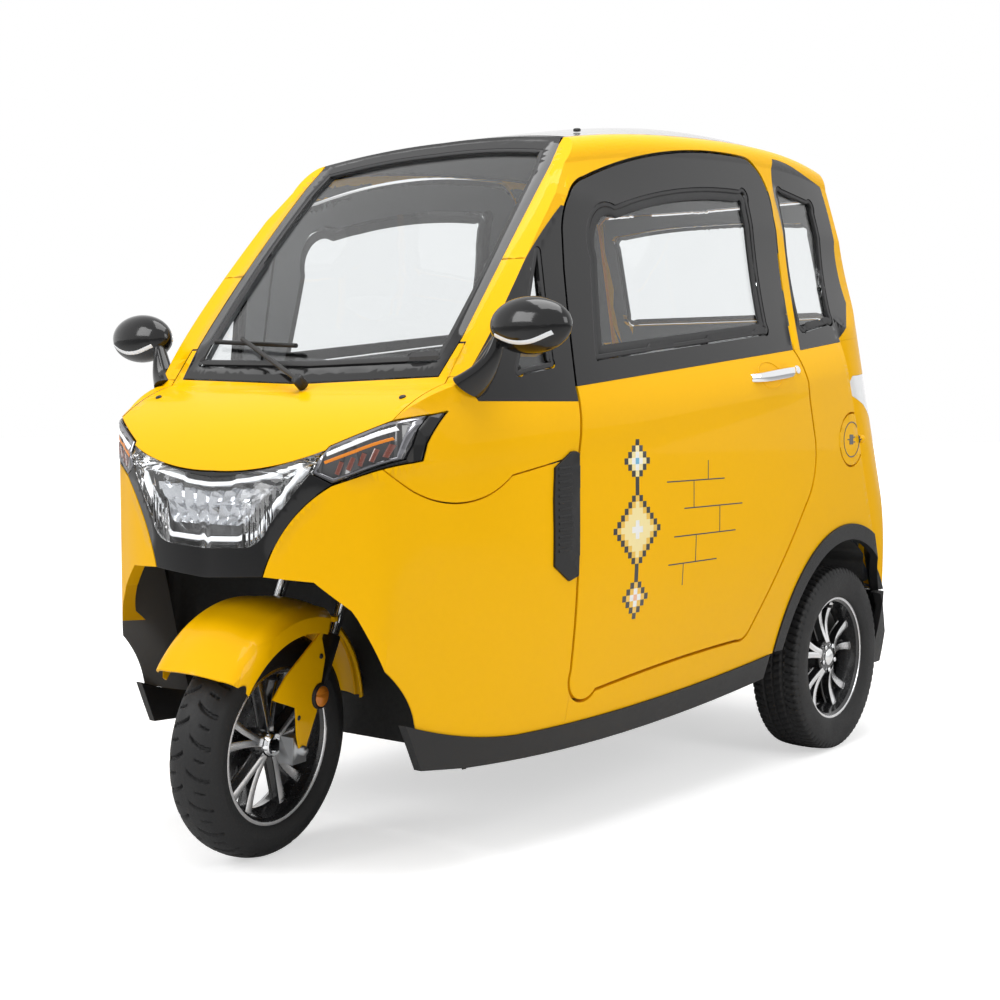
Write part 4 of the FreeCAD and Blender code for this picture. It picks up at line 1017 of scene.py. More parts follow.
@dataclass
class Bodywork:
    """Painted panels, black frames, trims and glass, as skins of their CAD nodes."""

    skins: Skins
    pillar_back: float = -0.30
    forward_y: float = -0.45
    forward_z: float = 0.3

    def build(self) -> None:
        """Dresses every panel, frame, trim and pane."""
        shell: list[bpy.types.Object] = []
        for node in ("front_side_panels", "bonnet", "roof_rails", "rear_quarters"):
            shell.append(self.skins.lined(node, "root", PAINT))
        for side in ("left", "right"):
            shell.append(self.skins.lined(f"door_{side}_panel", f"door_{side}", PAINT))
            shell.append(self.skins.lined(f"door_{side}_frame", f"door_{side}", GLOSS))
        shell.append(self.skins.lined("tailgate_panel", "tailgate", PAINT))
        shell.append(self.skins.lined("windshield_frame", "root", GLOSS))
        shell.append(self.pillars(self.skins.lined("side_window_frames", "root", GLOSS)))
        shell.append(self.skins.lined("roof_panel", "root", ROOF))
        shell.append(self.skins.plain("front_fascia", "root", GLOSS))
        for node in ("side_skirts", "wheel_arch_trims", "rear_bumper"):
            shell.append(self.skins.plain(node, "root", SATIN))
        self.skins.shade(shell)
        panes: list[bpy.types.Object] = []
        for side in ("left", "right"):
            panes.append(self.skins.plain(f"door_{side}_glass", f"door_{side}", GLASS))
        panes.append(self.skins.plain("tailgate_glass", "tailgate", GLASS))
        for node in ("windshield_glass", "side_window_glass"):
            panes.append(self.skins.plain(node, "root", GLASS))
        self.skins.shade(panes)
        self.skins.plain("charge_flap", "charge_flap", PAINT)
        self.skins.plain("hinge_covers", "root", SATIN)
        self.skins.plain("wheel_well_liners", "root", LINER)
        LOG.info("bodywork dressed")

    def pillars(self, frames: bpy.types.Object) -> bpy.types.Object:
        """Paints the frames' forward faces beside the windshield in the body's yellow.

        Args:
            frames: The skin of the side window frames.

        Returns:
            The same skin.
        """
        coated(frames, PAINT)
        for face in frames.data.polygons:
            forward = face.normal.y < self.forward_y and face.normal.z > self.forward_z
            if forward and face.center.y < self.pillar_back:
                face.material_index = 2
        return frames


@dataclass
class Mechanics:
    """Frame, axle, dampers, floor and other plain carried-over nodes."""

    skins: Skins
    crown_half: float = 0.05
    boot_low: float = 0.28
    boot_high: float = 0.455

    def build(self) -> None:
        """Dresses the running gear and the cabin's plain nodes."""
        for node, finish in (
            ("chassis_frame", FRAME_BLACK), ("rear_axle", FRAME_BLACK), ("rear_dampers", STEEL),
            ("battery_block", BATTERY), ("floor_pan", FLOOR_MAT), ("seat_plinth", DASH), ("dashboard", DASH),
            ("mirror_glass", MIRROR), ("side_mirrors", GLOSS), ("windshield_wiper", SATIN),
            ("tail_lamps", TAIL_CLEAR),
        ):
            self.skins.plain(node, "root", finish)
        fork = coated(self.skins.plain("front_fork", "steering", CAST), BOOT, CHROME, FRAME_BLACK)
        for face in fork.data.polygons:
            place = face.center
            if abs(place.x) < self.crown_half:
                face.material_index = 3
            elif place.z > self.boot_low:
                face.material_index = 2 if place.z > self.boot_high else 1
        self.skins.plain("handlebar", "steering", DASH)
        self.skins.shade([self.skins.plain("front_fender", "steering", PAINT)])
        self.skins.plain("fender_reflectors", "steering", AMBER)
        LOG.info("mechanics dressed")


def smooth_line(points: list[Flat], steps: int) -> list[Flat]:
    """A soft curve through a few flat points."""
    out: list[Flat] = []
    last = len(points) - 1
    for i in range(last):
        p0, p1, p2, p3 = points[max(i - 1, 0)], points[i], points[i + 1], points[min(i + 2, last)]
        for k in range(steps):
            t = k / steps
            out.append(tuple(
                0.5 * (2 * p1[d] + (p2[d] - p0[d]) * t + (2 * p0[d] - 5 * p1[d] + 4 * p2[d] - p3[d]) * t * t
                       + (3 * p1[d] - p0[d] - 3 * p2[d] + p3[d]) * t**3)
                for d in (0, 1)))
    out.append(points[last])
    return out


def soft_step(value: float, low: float, high: float) -> float:
    """0 below low, 1 above high and a soft rise between."""
    t = max(0.0, min(1.0, (value - low) / (high - low)))
    return t * t * (3 - 2 * t)


class Tread(Enum):
    """The tyre patterns on the vehicle."""

    CURVED = "curved diagonal grooves"
    BLOCKS = "blocks between round grooves"


CURVES_ROUND = 22
BLOCKS_ROUND = 76
RIB_EDGE = 0.027


@dataclass
class Tyre:
    """A tyre with a moulded tread, spun from its section."""

    radius: float
    half_width: float
    tread: Tread
    bead: float = 0.160
    depth: float = 0.0045
    steps: int = 560

    def section(self) -> list[Flat]:
        """The closed half section, dense across the tread."""
        w, r, b = self.half_width, self.radius, self.bead
        if self.tread is Tread.CURVED:
            side = [(0.70 * w, b), (0.86 * w, b + 0.006), (0.97 * w, b + 0.022), (w, b + 0.038),
                    (0.95 * w, r - 0.024), (0.83 * w, r - 0.0135)]
            crown = [(0.83 * w, r - 0.0135), (0.62 * w, r - 0.0062), (0.33 * w, r - 0.0016), (0.0, r)]
        else:
            side = [(0.74 * w, b), (0.90 * w, b + 0.006), (0.98 * w, b + 0.024), (w, b + 0.042),
                    (0.98 * w, r - 0.022), (0.92 * w, r - 0.009)]
            crown = [(0.92 * w, r - 0.009), (0.84 * w, r - 0.0042), (0.45 * w, r - 0.0008), (0.0, r)]
        half = smooth_line(side, 4)[:-1] + smooth_line(crown, 10)
        other = [(-x, y) for x, y in reversed(half[:-1])]
        return half + other + [(-0.66 * w, b - 0.004), (0.66 * w, b - 0.004)]

    def groove(self, angle: float, x: float, away: float) -> float:
        """How deep the pattern is cut at a place on the tread, from 0 to 1.

        Args:
            angle: The place round the wheel, in radians.
            x: The place across the tyre.
            away: The place's radius.

        Returns:
            The share of the full groove depth.
        """
        run = angle * self.radius
        half = abs(x)
        if self.tread is Tread.CURVED:
            pitch = 2 * math.pi * self.radius / CURVES_ROUND
            side = 0.5 if x > 0 else 0.0
            swirl = 0.030 * (half / self.half_width) ** 0.65 - 0.010 * (half / self.half_width) ** 2
            t = (run / pitch - swirl / pitch * 1.6 + side) % 1.0
            wide = 0.0058 * (0.7 + 0.5 * half / self.half_width)
            long = 1 - soft_step(abs(t - 0.5) * pitch, wide * 0.5, wide * 0.5 + 0.0022)
            long *= soft_step(half, 0.004, 0.008)
            long *= 1 - soft_step(half, 0.80 * self.half_width, 0.88 * self.half_width)
            u = (run / pitch - swirl / pitch * 1.2 + side + 0.45) % 1.0
            short = (1 - soft_step(abs(u - 0.5) * pitch, 0.0012, 0.0032)) * soft_step(half, 0.020, 0.024)
            short *= 1 - soft_step(half, 0.68 * self.half_width, 0.76 * self.half_width)
            return max(long, short * 0.8)
        rings = max((1 - soft_step(abs(half - at), 0.0022, 0.0042)) for at in (0.0, RIB_EDGE))
        pitch = 2 * math.pi * self.radius / BLOCKS_ROUND
        slant = 0.45 if half < RIB_EDGE else -0.25
        t = (run / pitch + slant * x / pitch + (0.5 if half > RIB_EDGE else 0.0)) % 1.0
        sipe = 1 - soft_step(abs(t - 0.5) * pitch, 0.0011 if half < RIB_EDGE else 0.0022, 0.0042)
        sipe *= 0.75 if half < RIB_EDGE else soft_step(half, 0.030, 0.034)
        return max(rings, sipe) * (1 - soft_step(self.radius - away, 0.013, 0.019))

    def build(self, name: str) -> bpy.types.Object:
        """Spins the tyre about the X axis and cuts its tread by moving vertices inwards."""
        tyre = turned(name, self.section(), self.steps, closed=True)
        for vert in tyre.data.vertices:
            away = math.hypot(vert.co.y, vert.co.z)
            if away < self.radius - 0.020:
                ring = soft_step(0.0012 - abs(away - (self.bead + 0.030)), 0.0, 0.0012) * 0.0008
                vert.co.x += math.copysign(ring, vert.co.x)
                continue
            angle = math.atan2(vert.co.z, vert.co.y) % (2 * math.pi)
            cut = self.depth * self.groove(angle, vert.co.x, away)
            vert.co.y *= (away - cut) / away
            vert.co.z *= (away - cut) / away
        return smooth(tyre, 40.0)


ARMS = 5


@dataclass
class Rim:
    """A cast rim with five pairs of machined arms on a black barrel."""

    half_width: float
    hub: float
    face: float
    dish: float
    bead: float = 0.153
    flange: float = 0.166
    sunk: float = 0.006
    waist: float = 0.0135
    flare: float = 0.011
    tip_thick: float = 0.020
    root_thicker: float = 0.006
    crown: float = 0.0016
    back_wider: float = 0.35
    root_lean: float = 0.36
    nut_circle: float = 0.034
    splay: float = 0.235
    show_from: float = 0.90

    def barrel(self, name: str) -> bpy.types.Object:
        """The black barrel with its two flanges, spun from its section."""
        w, b, f = self.half_width, self.bead, self.flange
        profile = [
            (-w, f), (-w, f - 0.004), (-w + 0.007, b), (-w + 0.020, b - 0.006), (0.0, b - 0.016),
            (w - 0.020, b - 0.006), (w - 0.007, b - 0.003), (w - 0.001, f - 0.009), (w, f - 0.005), (w, f),
            (w - 0.006, f), (w - 0.010, b + 0.004), (0.0, b - 0.010), (-w + 0.010, b + 0.004),
            (-w + 0.006, f),
        ]
        return smooth(turned(name, profile, 120, closed=True), 30.0)

    def lip(self, name: str) -> bpy.types.Object:
        """The thin machined ring on the outer flange."""
        w, f = self.half_width, self.flange
        profile = [
            (w - 0.0005, f - 0.0105), (w + 0.0012, f - 0.0090), (w + 0.0018, f - 0.0045),
            (w + 0.0012, f - 0.0008), (w - 0.0015, f - 0.0002), (w - 0.003, f - 0.006),
        ]
        return smooth(turned(name, profile, 160, closed=True), 30.0)

    def arm(self, name: str, lean: float) -> bpy.types.Object:
        """One tapered arm, from the hub to the rim, leaning to one side.

        Args:
            name: The new object's name.
            lean: How far its outer end is turned from its root, in radians.

        Returns:
            The arm, with its machined face towards +X.
        """
        made = fine_block(name)
        inner, outer = self.hub - self.sunk, self.bead - 0.004
        for vert in made.data.vertices:
            t = vert.co.z + 0.5
            away = inner + (outer - inner) * t
            width = self.waist + self.flare * t**1.4 + 0.004 * (1 - t) ** 3
            lift = self.face - self.dish * math.sin(math.pi * min(1.0, t * 0.95)) - 0.004 * t
            thick = self.tip_thick + self.root_thicker * (1 - t)
            crown = self.crown * (1 - (vert.co.y * 2) ** 2)
            x = lift + (crown if vert.co.x > 0.4 else 0.0) + (vert.co.x - 0.5) * thick
            shrink = 1.0 + (self.back_wider if vert.co.x < -0.4 else 0.0)
            angle = lean * (self.root_lean + (1 - self.root_lean) * t**0.9)
            side = vert.co.y * width * shrink
            z = away * math.cos(angle) - side * math.sin(angle)
            y = away * math.sin(angle) + side * math.cos(angle)
            vert.co = Vector((x, y, z))
        outward(made)
        coated(bevelled(made, 0.0013, 2, 40.0), RIM_BLACK, MACHINED)
        for face in made.data.polygons:
            face.material_index = 1 if face.normal.x > self.show_from else 0
        return smooth(made, 30.0)

    def centre(self, name: str, domed: bool) -> bpy.types.Object:
        """The hub, with a domed cap, or with a bright ring round a dark bore."""
        h = self.hub
        face = self.face
        back = -self.half_width + 0.012
        black = turned(f"{name}_hub", [
            (back, 0.0112), (back, h * 0.8), (-0.010, h * 0.86), (face - 0.016, h), (face - 0.005, h - 0.001),
            (face - 0.002, h - 0.006), (face - 0.002, 0.0112)], 64, closed=True)
        parts = [smooth(coated(black, RIM_BLACK), 30.0)]
        if domed:
            dome = smooth_line([
                (face - 0.004, 0.0225), (face + 0.003, 0.0225), (face + 0.0055, 0.0205),
                (face + 0.0095, 0.012), (face + 0.0108, 0.0005)], 4)
            cap = turned(f"{name}_cap", dome + [(face - 0.004, 0.0005)], 48, closed=True)
            parts.append(smooth(coated(cap, CHROME), 30.0))
            for i in range(ARMS):
                nut = rod(6, 0.0068, 0.012, 0.0012, CHROME)
                angle = math.radians(36 + 72 * i)
                y, z = self.nut_circle * math.sin(angle), self.nut_circle * math.cos(angle)
                nut.data.transform(Matrix.Translation((face - 0.0005, y, z)))
                parts.append(nut)
        else:
            ring = turned(f"{name}_ring", [
                (face - 0.010, 0.0115), (face - 0.010, 0.0245), (face + 0.012, 0.0245),
                (face + 0.0145, 0.0225), (face + 0.0145, 0.0165), (face + 0.004, 0.0150),
                (face + 0.002, 0.0115)], 48, closed=True)
            parts.append(smooth(coated(ring, CHROME), 30.0))
        return joined(name, parts)

    def build(self, name: str, domed: bool) -> bpy.types.Object:
        """Joins barrel, lip, arms and hub about the X axis, with the show face towards +X."""
        parts = [
            coated(self.barrel(f"{name}_barrel"), RIM_BLACK), coated(self.lip(f"{name}_lip"), MACHINED),
            self.centre(f"{name}_centre", domed),
        ]
        for lean in (self.splay, -self.splay):
            first = self.arm(f"{name}_arm", lean)
            parts.append(first)
            for i in range(1, ARMS):
                twin = own_copy(first, first.name)
                twin.data.transform(Matrix.Rotation(math.radians(72 * i), 4, "X"))
                parts.append(twin)
        valve = rod(16, 0.0042, 0.030, 0.0008, RUBBER)
        valve.data.transform(Matrix.Translation((self.half_width - 0.022, 0.0, self.bead - 0.016)))
        parts.append(valve)
        return joined(name, parts)


@dataclass
class Wheels:
    """The three wheels, each tyre and rim in place of its CAD node."""

    skins: Skins
    rear_place: Vector = field(default_factory=lambda: Vector((0.430, 0.763, 0.247)))
    front_place: Vector = field(default_factory=lambda: Vector((0.0080, -0.88646, 0.23595)))
    front_axis: Vector = field(default_factory=lambda: Vector((0.98876, 0.13553, -0.06320)))

    def build(self) -> None:
        """Builds, places and dresses the wheels and the brake disc."""
        rear_tyre = Tyre(0.247, 0.068, Tread.BLOCKS, steps=6 * BLOCKS_ROUND).build("rear_tyre_left_tread")
        rear_rim = Rim(0.054, 0.046, 0.036, 0.012).build("rear_rim_left_cast", True)
        opposite = Vector((-self.rear_place.x, self.rear_place.y, self.rear_place.z))
        for piece, node, finish in ((rear_tyre, "rear_tyre", TYRE), (rear_rim, "rear_rim", RIM_BLACK)):
            if finish is TYRE:
                coated(piece, finish)
            twin = mirrored(piece, piece.name.replace("left", "right"))
            piece.data.transform(Matrix.Translation(self.rear_place))
            twin.data.transform(Matrix.Translation(opposite))
            dress(piece, finish, "rear_wheel_left", f"{node}_left")
            dress(twin, finish, "rear_wheel_right", f"{node}_right")
        curved = Tyre(0.236, 0.058, Tread.CURVED, depth=0.0062, steps=24 * CURVES_ROUND)
        front_tyre = curved.build("front_tyre_tread")
        front_rim = Rim(0.046, 0.032, 0.024, 0.004).build("front_rim_cast", False)
        for piece, node, finish in ((front_tyre, "front_tyre", TYRE), (front_rim, "front_rim", RIM_BLACK)):
            piece.data.transform(aimed(self.front_place, self.front_axis))
            dress(piece, finish, "front_wheel", node)
        self.skins.plain("front_brake_disc", "front_wheel", STEEL)
        LOG.info("wheels built")


# Outlines seen from the side (y, z) and from the front (x, z), in millimetres
DOOR_WINDOW = [
    (-361, 1030), (-360, 1022, -350, 1021), (365, 1096), (386, 1100, 390, 1125), (396, 1300, 388, 1425),
    (383, 1455, 350, 1454), (20, 1420, -220, 1362), (-318, 1335, -334, 1240),
]
DOOR_INNER = [
    (-338, 1042), (346, 1112), (366, 1116, 369, 1135), (374, 1300, 366, 1408),
    (362, 1434, 336, 1433), (20, 1400, -212, 1344), (-300, 1318, -313, 1240),
]
VENT_WINDOW = [
    (-622, 1003), (-618, 986, -600, 988), (-512, 1002), (-503, 1006, -503, 1020), (-507, 1236),
    (-516, 1250, -530, 1238),
]
QUARTER_WINDOW = [
    (556, 1140), (557, 1112, 585, 1112), (720, 1134), (750, 1140, 754, 1165), (764, 1300, 748, 1430),
    (742, 1462, 712, 1464), (575, 1480), (548, 1480, 545, 1450), (557, 1300, 556, 1140),
]
SHIELD_GLASS_HALF = [
    (0, 1004), (352, 1012), (356, 1060), (356, 1200, 338, 1430), (320, 1478), (160, 1496, 0, 1500),
]
BACK_GLASS_HALF = [
    (0, 1165), (300, 1165), (328, 1167, 332, 1195), (322, 1390), (316, 1420, 290, 1425),
    (150, 1436, 0, 1438),
]
PANES = ["windshield_glass", "side_window_glass", "door_left_glass", "door_right_glass", "tailgate_glass"]
BODY_NODES = [
    "front_side_panels", "bonnet", "roof_rails", "rear_quarters", "door_left_panel", "door_left_frame",
    "door_right_panel", "door_right_frame", "tailgate_panel", "windshield_frame", "side_window_frames",
    "roof_panel", "front_fascia", "side_skirts", "wheel_arch_trims", "rear_bumper", "hinge_covers",
    "charge_flap", "headlamp_lens", "tail_lamps", *PANES, "front_lamps",
]


def islands(form: bmesh.types.BMesh) -> list[list[bmesh.types.BMVert]]:
    """The groups of vertices that hang together."""
    found: list[list[bmesh.types.BMVert]] = []
    seen: set[bmesh.types.BMVert] = set()
    for seed in form.verts:
        if seed in seen:
            continue
        island, queue = [], [seed]
        seen.add(seed)
        while queue:
            vert = queue.pop()
            island.append(vert)
            near = {edge.other_vert(vert) for edge in vert.link_edges} - seen
            seen |= near
            queue.extend(near)
        found.append(island)
    return found


def whole_line(half: list[Flat]) -> list[Flat]:
    """An open half line from the middle outwards, continued on the other side."""
    return [(-x, z) for x, z in reversed(half[1:])] + list(half)


def whole_loop(half: list[tuple[float, ...]], spacing: float = 16.0) -> list[Flat]:
    """The closed outline of a part whose right half is given from the lower middle to the upper middle."""
    right = arc_path(half, spacing, closed=False)
    return right + [(-x, z) for x, z in reversed(right[1:-1])]


@dataclass
class Seals:
    """Black rubbers round the windows and the doors' inner window frames."""

    surface: Surface
    width: float = 0.0105
    inset: float = 0.0065
    rise: float = 0.0085
    depth: float = 0.0080

    def seal(self, name: str, facing: Facing, path: list[Flat], body: str = "root") -> None:
        """Lays one rubber on the glass, just inside its opening's edge.

        Args:
            name: The new object's name.
            facing: The side from which the opening is drawn.
            path: The opening's edge.
            body: The body that carries the pane.
        """
        area = sum(a[0] * b[1] - b[0] * a[1] for a, b in zip(path, path[1:] + path[:1]))
        side = math.copysign(self.inset, area)
        strip = self.surface.ribbon(name, facing, path, self.width, self.rise, self.depth, side=side)
        dress(strip, RUBBER, body)

    def build(self) -> None:
        """Lays every seal along its window's edge."""
        for side, facing in (("left", Facing.LEFT), ("right", Facing.RIGHT)):
            self.seal(f"door_{side}_seal", facing, arc_path(DOOR_WINDOW, 14.0), f"door_{side}")
            inner = arc_path(DOOR_INNER, 14.0)
            sash = self.surface.ribbon(f"door_{side}_sash", facing, inner, 0.020, 0.0065, 0.0062)
            dress(sash, RUBBER, f"door_{side}")
            for name, path in (("vent", VENT_WINDOW), ("quarter", QUARTER_WINDOW)):
                self.seal(f"{name}_{side}_seal", facing, arc_path(path, 12.0))
        self.seal("windshield_seal", Facing.FRONT, whole_loop(SHIELD_GLASS_HALF))
        self.seal("tailgate_seal", Facing.REAR, whole_loop(BACK_GLASS_HALF), "tailgate")
        LOG.info("seals laid")


@dataclass
class Headlamp:
    """The middle lamp: light guides and faceted reflectors behind the clear lens."""

    skins: Skins
    surface: Surface
    guide_half: list[tuple[float, ...]] = field(default_factory=lambda: [
        (0, 664), (98, 668), (128, 672, 154, 704), (240, 808)])
    strip_half: list[tuple[float, ...]] = field(default_factory=lambda: [(0, 775), (130, 789, 232, 819)])
    columns: int = 8
    rows: int = 2
    cells: int = 6
    half_low: float = 0.105
    half_high: float = 0.165
    bottom: float = 0.694
    top: float = 0.762
    top_rise: float = 0.014
    dish: float = 0.017
    guide_width: float = 0.010
    strip_width: float = 0.008
    guide_rise: float = -0.0095
    guide_depth: float = 0.008
    signal_from: float = 0.15

    def reflector(self) -> bpy.types.Object:
        """A sheet of small bright dishes that follows the body's curve behind the lens."""
        verts: list[Vector] = []
        faces: list[tuple[int, ...]] = []
        wide = self.columns * self.cells
        high = self.rows * self.cells
        for j in range(high + 1):
            v = j / high
            for i in range(wide + 1):
                u = i / wide * 2 - 1
                half = self.half_low + (self.half_high - self.half_low) * v
                top = self.top + self.top_rise * abs(u) ** 1.6
                x, z = u * half, self.bottom + (top - self.bottom) * v
                du, dv = (i % self.cells) / self.cells * 2 - 1, (j % self.cells) / self.cells * 2 - 1
                dish = self.dish * (1 - du * du) * (1 - dv * dv * 0.8)
                point, _ = self.surface.at(Facing.FRONT, x, z, -self.dish)
                verts.append(point + Vector((0, dish, 0)))
        for j in range(high):
            for i in range(wide):
                a = j * (wide + 1) + i
                faces.append((a, a + 1, a + wide + 2, a + wide + 1))
        made = from_mesh("headlamp_reflector", verts, faces)
        if sum((p.normal for p in made.data.polygons), Vector()).y > 0:
            made.data.flip_normals()
        return smooth(walled(made, 0.0015), 24.0)

    def housing(self) -> bpy.types.Object:
        """A dark sheet behind the guides, which closes the lamp."""
        half = [(0, 650), (108, 656), (138, 666, 168, 700), (258, 806), (268, 836), (140, 800, 0, 783)]
        return self.surface.patch("headlamp_housing", Facing.FRONT, whole_loop(half, 14.0), -0.0365, 0.002, 3)

    def build(self) -> None:
        """Builds the lamp's pieces and keeps the signal lamps' bodies."""
        keep = self.skins.copy("front_lamps")
        keep.name = "signal_bodies"
        form = bmesh.new()
        form.from_mesh(keep.data)
        near = [part for part in islands(form) if min(abs(v.co.x) for v in part) < self.signal_from]
        inner = set().union(*near)
        bmesh.ops.delete(form, geom=[v for v in form.verts if v in inner], context="VERTS")
        form.to_mesh(keep.data)
        form.free()
        dress(keep, LAMP_DARK, "root", "front_lamps")
        dress(self.reflector(), REFLECTOR, "root", "front_lamps")
        dress(self.housing(), LAMP_DARK, "root", "front_lamps")
        for name, half, width in (
            ("guide", self.guide_half, self.guide_width), ("strip", self.strip_half, self.strip_width),
        ):
            path = whole_line(arc_path(half, 10.0, closed=False))
            light = self.surface.ribbon(f"headlamp_{name}", Facing.FRONT, path, width, self.guide_rise,
                                        self.guide_depth, closed=False)
            dress(light, GUIDE, "root", "front_lamps")
        self.skins.plain("headlamp_lens", "root", LENS)
        LOG.info("headlamp built")


@dataclass
class SignalLamps:
    """The two side signal lamps: dark frame, white and amber strips, reddish fins."""

    surface: Surface

    def one(self, sign: int, name: str) -> None:
        """Builds one signal lamp on the left (+1) or right (-1) of the vehicle."""
        def strip(part: str, points: list[tuple[float, ...]], width: float, rise: float, depth: float,
                  closed: bool = False) -> bpy.types.Object:
            path = [(sign * x, z) for x, z in arc_path(points, 9.0, closed=closed)]
            label = f"{name}_{part}"
            return self.surface.ribbon(label, Facing.FRONT, path, width, rise, depth, closed=closed)

        edge = [(266, 802), (288, 848), (415, 903), (401, 829), (300, 787)]
        dress(strip("frame", edge, 0.0055, 0.0018, 0.005, True), LAMP_CHROME)
        dress(strip("white", [(287, 836), (400, 885)], 0.0085, 0.0014, 0.004), GUIDE)
        dress(strip("amber", [(284, 820), (396, 866)], 0.0065, 0.0012, 0.004), AMBER)
        fins = []
        for i in range(5):
            x, z = 306 + 20 * i, 798 + 8.2 * i
            fins.append(strip("fin", [(x, z), (x + 9, z + 24)], 0.0085, 0.0016, 0.004))
        dress(joined(f"{name}_fins", fins), FIN_RED)

    def build(self) -> None:
        """Builds both lamps."""
        self.one(1, "signal_left")
        self.one(-1, "signal_right")
        LOG.info("signal lamps built")


@dataclass
class DoorMosaic:
    """A plain stepped mosaic on each door, with thin lines like a course of bricks beside it."""

    surface: Surface
    cell: float = 0.0135
    columns: int = 15
    rows: int = 29
    corner: Flat = (-0.345, 0.462)

    def tone(self, column: int, row: int) -> Finish | None:
        """The finish of one square of the mosaic, or None where it is bare."""
        for middle, half, tones in (
            (3, 4, (DECAL_PEACH, DECAL_WHITE, DECAL_GOLD, DECAL_BLACK)),
            (14, 7, (DECAL_WHITE,) * 2 + (DECAL_CREAM,) * 3 + (DECAL_GOLD, DECAL_BLACK)),
            (25, 4, (DECAL_BLUE, DECAL_WHITE, DECAL_CREAM, DECAL_BLACK)),
        ):
            away = abs(column - 7) + abs(row - middle)
            if away < half:
                return tones[away]
        return DECAL_BLACK if column == 7 else None

    def build(self) -> None:
        """Lays the squares and lines on both doors."""
        for side, facing in (("left", Facing.LEFT), ("right", Facing.RIGHT)):
            groups: dict[str, tuple[Finish, list[Vector], list[tuple[int, ...]]]] = {}
            for row in range(self.rows):
                for column in range(self.columns):
                    tone = self.tone(column, row)
                    if tone is None:
                        continue
                    _, verts, faces = groups.setdefault(tone.name, (tone, [], []))
                    start = len(verts)
                    y, z = self.corner[0] + column * self.cell, self.corner[1] + row * self.cell
                    for dy, dz in ((0, 0), (1, 0), (1, 1), (0, 1)):
                        point, _ = self.surface.at(facing, y + dy * self.cell, z + dz * self.cell, 0.0004)
                        verts.append(point)
                    square = tuple(range(start, start + 4))
                    faces.append(square if side == "left" else square[::-1])
            for tone, verts, faces in groups.values():
                made = from_mesh(f"door_{side}_{tone.name.replace(' ', '_')}", verts, faces)
                dress(walled(made, 0.0003), tone, f"door_{side}")
            lines = []
            for ends in (
                ((-120, 570), (80, 570)), ((-100, 632), (160, 632)), ((-60, 694), (190, 694)),
                ((-130, 756), (110, 756)), ((-10, 570), (-10, 632)), ((90, 632), (90, 694)),
                ((-20, 694), (-20, 756)), ((40, 756), (40, 800)), ((-60, 520), (-60, 570)),
            ):
                path = arc_path(list(ends), 25.0, closed=False)
                lines.append(self.surface.ribbon("line", facing, path, 0.0028, 0.0004, 0.0003, closed=False))
            dress(joined(f"door_{side}_lines", lines), DECAL_BLACK, f"door_{side}")
        LOG.info("door mosaics laid")


@dataclass
class DoorHandles:
    """Chrome strap handles with a lock, over a shallow recess."""

    surface: Surface
    middle: Flat = (0.342, 1.0)
    slope: float = 0.105
    half_length: float = 0.103
    height: float = 0.025
    thick: float = 0.011
    bow: float = 0.021
    foot_from: float = 0.82
    foot_thicker: float = 0.014

    def strap(self, name: str) -> bpy.types.Object:
        """The bowed handle, from a subdivided block, with its ends drawn in to the door."""
        made = fine_block(name)
        for vert in made.data.vertices:
            t = vert.co.y * 2
            y = t * self.half_length
            z = self.middle[1] + y * self.slope
            base, _ = self.surface.at(Facing.LEFT, self.middle[0] + y, z)
            lift = self.bow * (1 - abs(t) ** 6) + 0.004
            thick = self.thick
            if abs(t) >= self.foot_from:
                thick += self.foot_thicker * (abs(t) - self.foot_from) / (1 - self.foot_from)
            high = self.height * (1 - 0.28 * abs(t) ** 3)
            edge = math.sqrt(max(0.0, 1 - (vert.co.z * 1.7) ** 2)) if vert.co.x > 0 else 1.0
            x = base.x + lift + (vert.co.x * edge - 0.5) * thick
            vert.co = Vector((x, self.middle[0] + y, z + vert.co.z * high))
        outward(made)
        bevelled(made, 0.0022, 3, 40.0)
        return smooth(made, 40.0)

    def build(self) -> None:
        """Builds both handles, their locks and recesses."""
        strap = self.strap("door_left_strap")
        lock_place, lock_normal = self.surface.at(Facing.LEFT, self.middle[0] + 0.118, self.middle[1] + 0.012)
        lock = turned("door_left_lock", [
            (0.0, 0.0005), (0.0, 0.011), (0.0055, 0.011), (0.0075, 0.009), (0.0075, 0.004),
            (0.0062, 0.0005)], 40, closed=True)
        lock.data.transform(aimed(lock_place - lock_normal * 0.001, lock_normal))
        smooth(lock, 30.0)
        y, z = self.middle[0] - 0.012, self.middle[1] - 0.002
        turns = (i * math.pi / 20 for i in range(40))
        ring = [(y + 0.052 * math.cos(a), z + 0.032 * math.sin(a)) for a in turns]
        cup = self.surface.ribbon("door_left_recess", Facing.LEFT, ring, 0.0035, 0.0012, 0.002)
        for piece, finish, names in (
            (strap, CHROME, ("door_left_handle",)), (lock, CHROME, ()), (cup, PAINT, ()),
        ):
            twin = mirrored(piece, piece.name.replace("left", "right"))
            dress(piece, finish, "door_left", *names)
            dress(twin, finish, "door_right", *(n.replace("left", "right") for n in names))
        LOG.info("handles built")


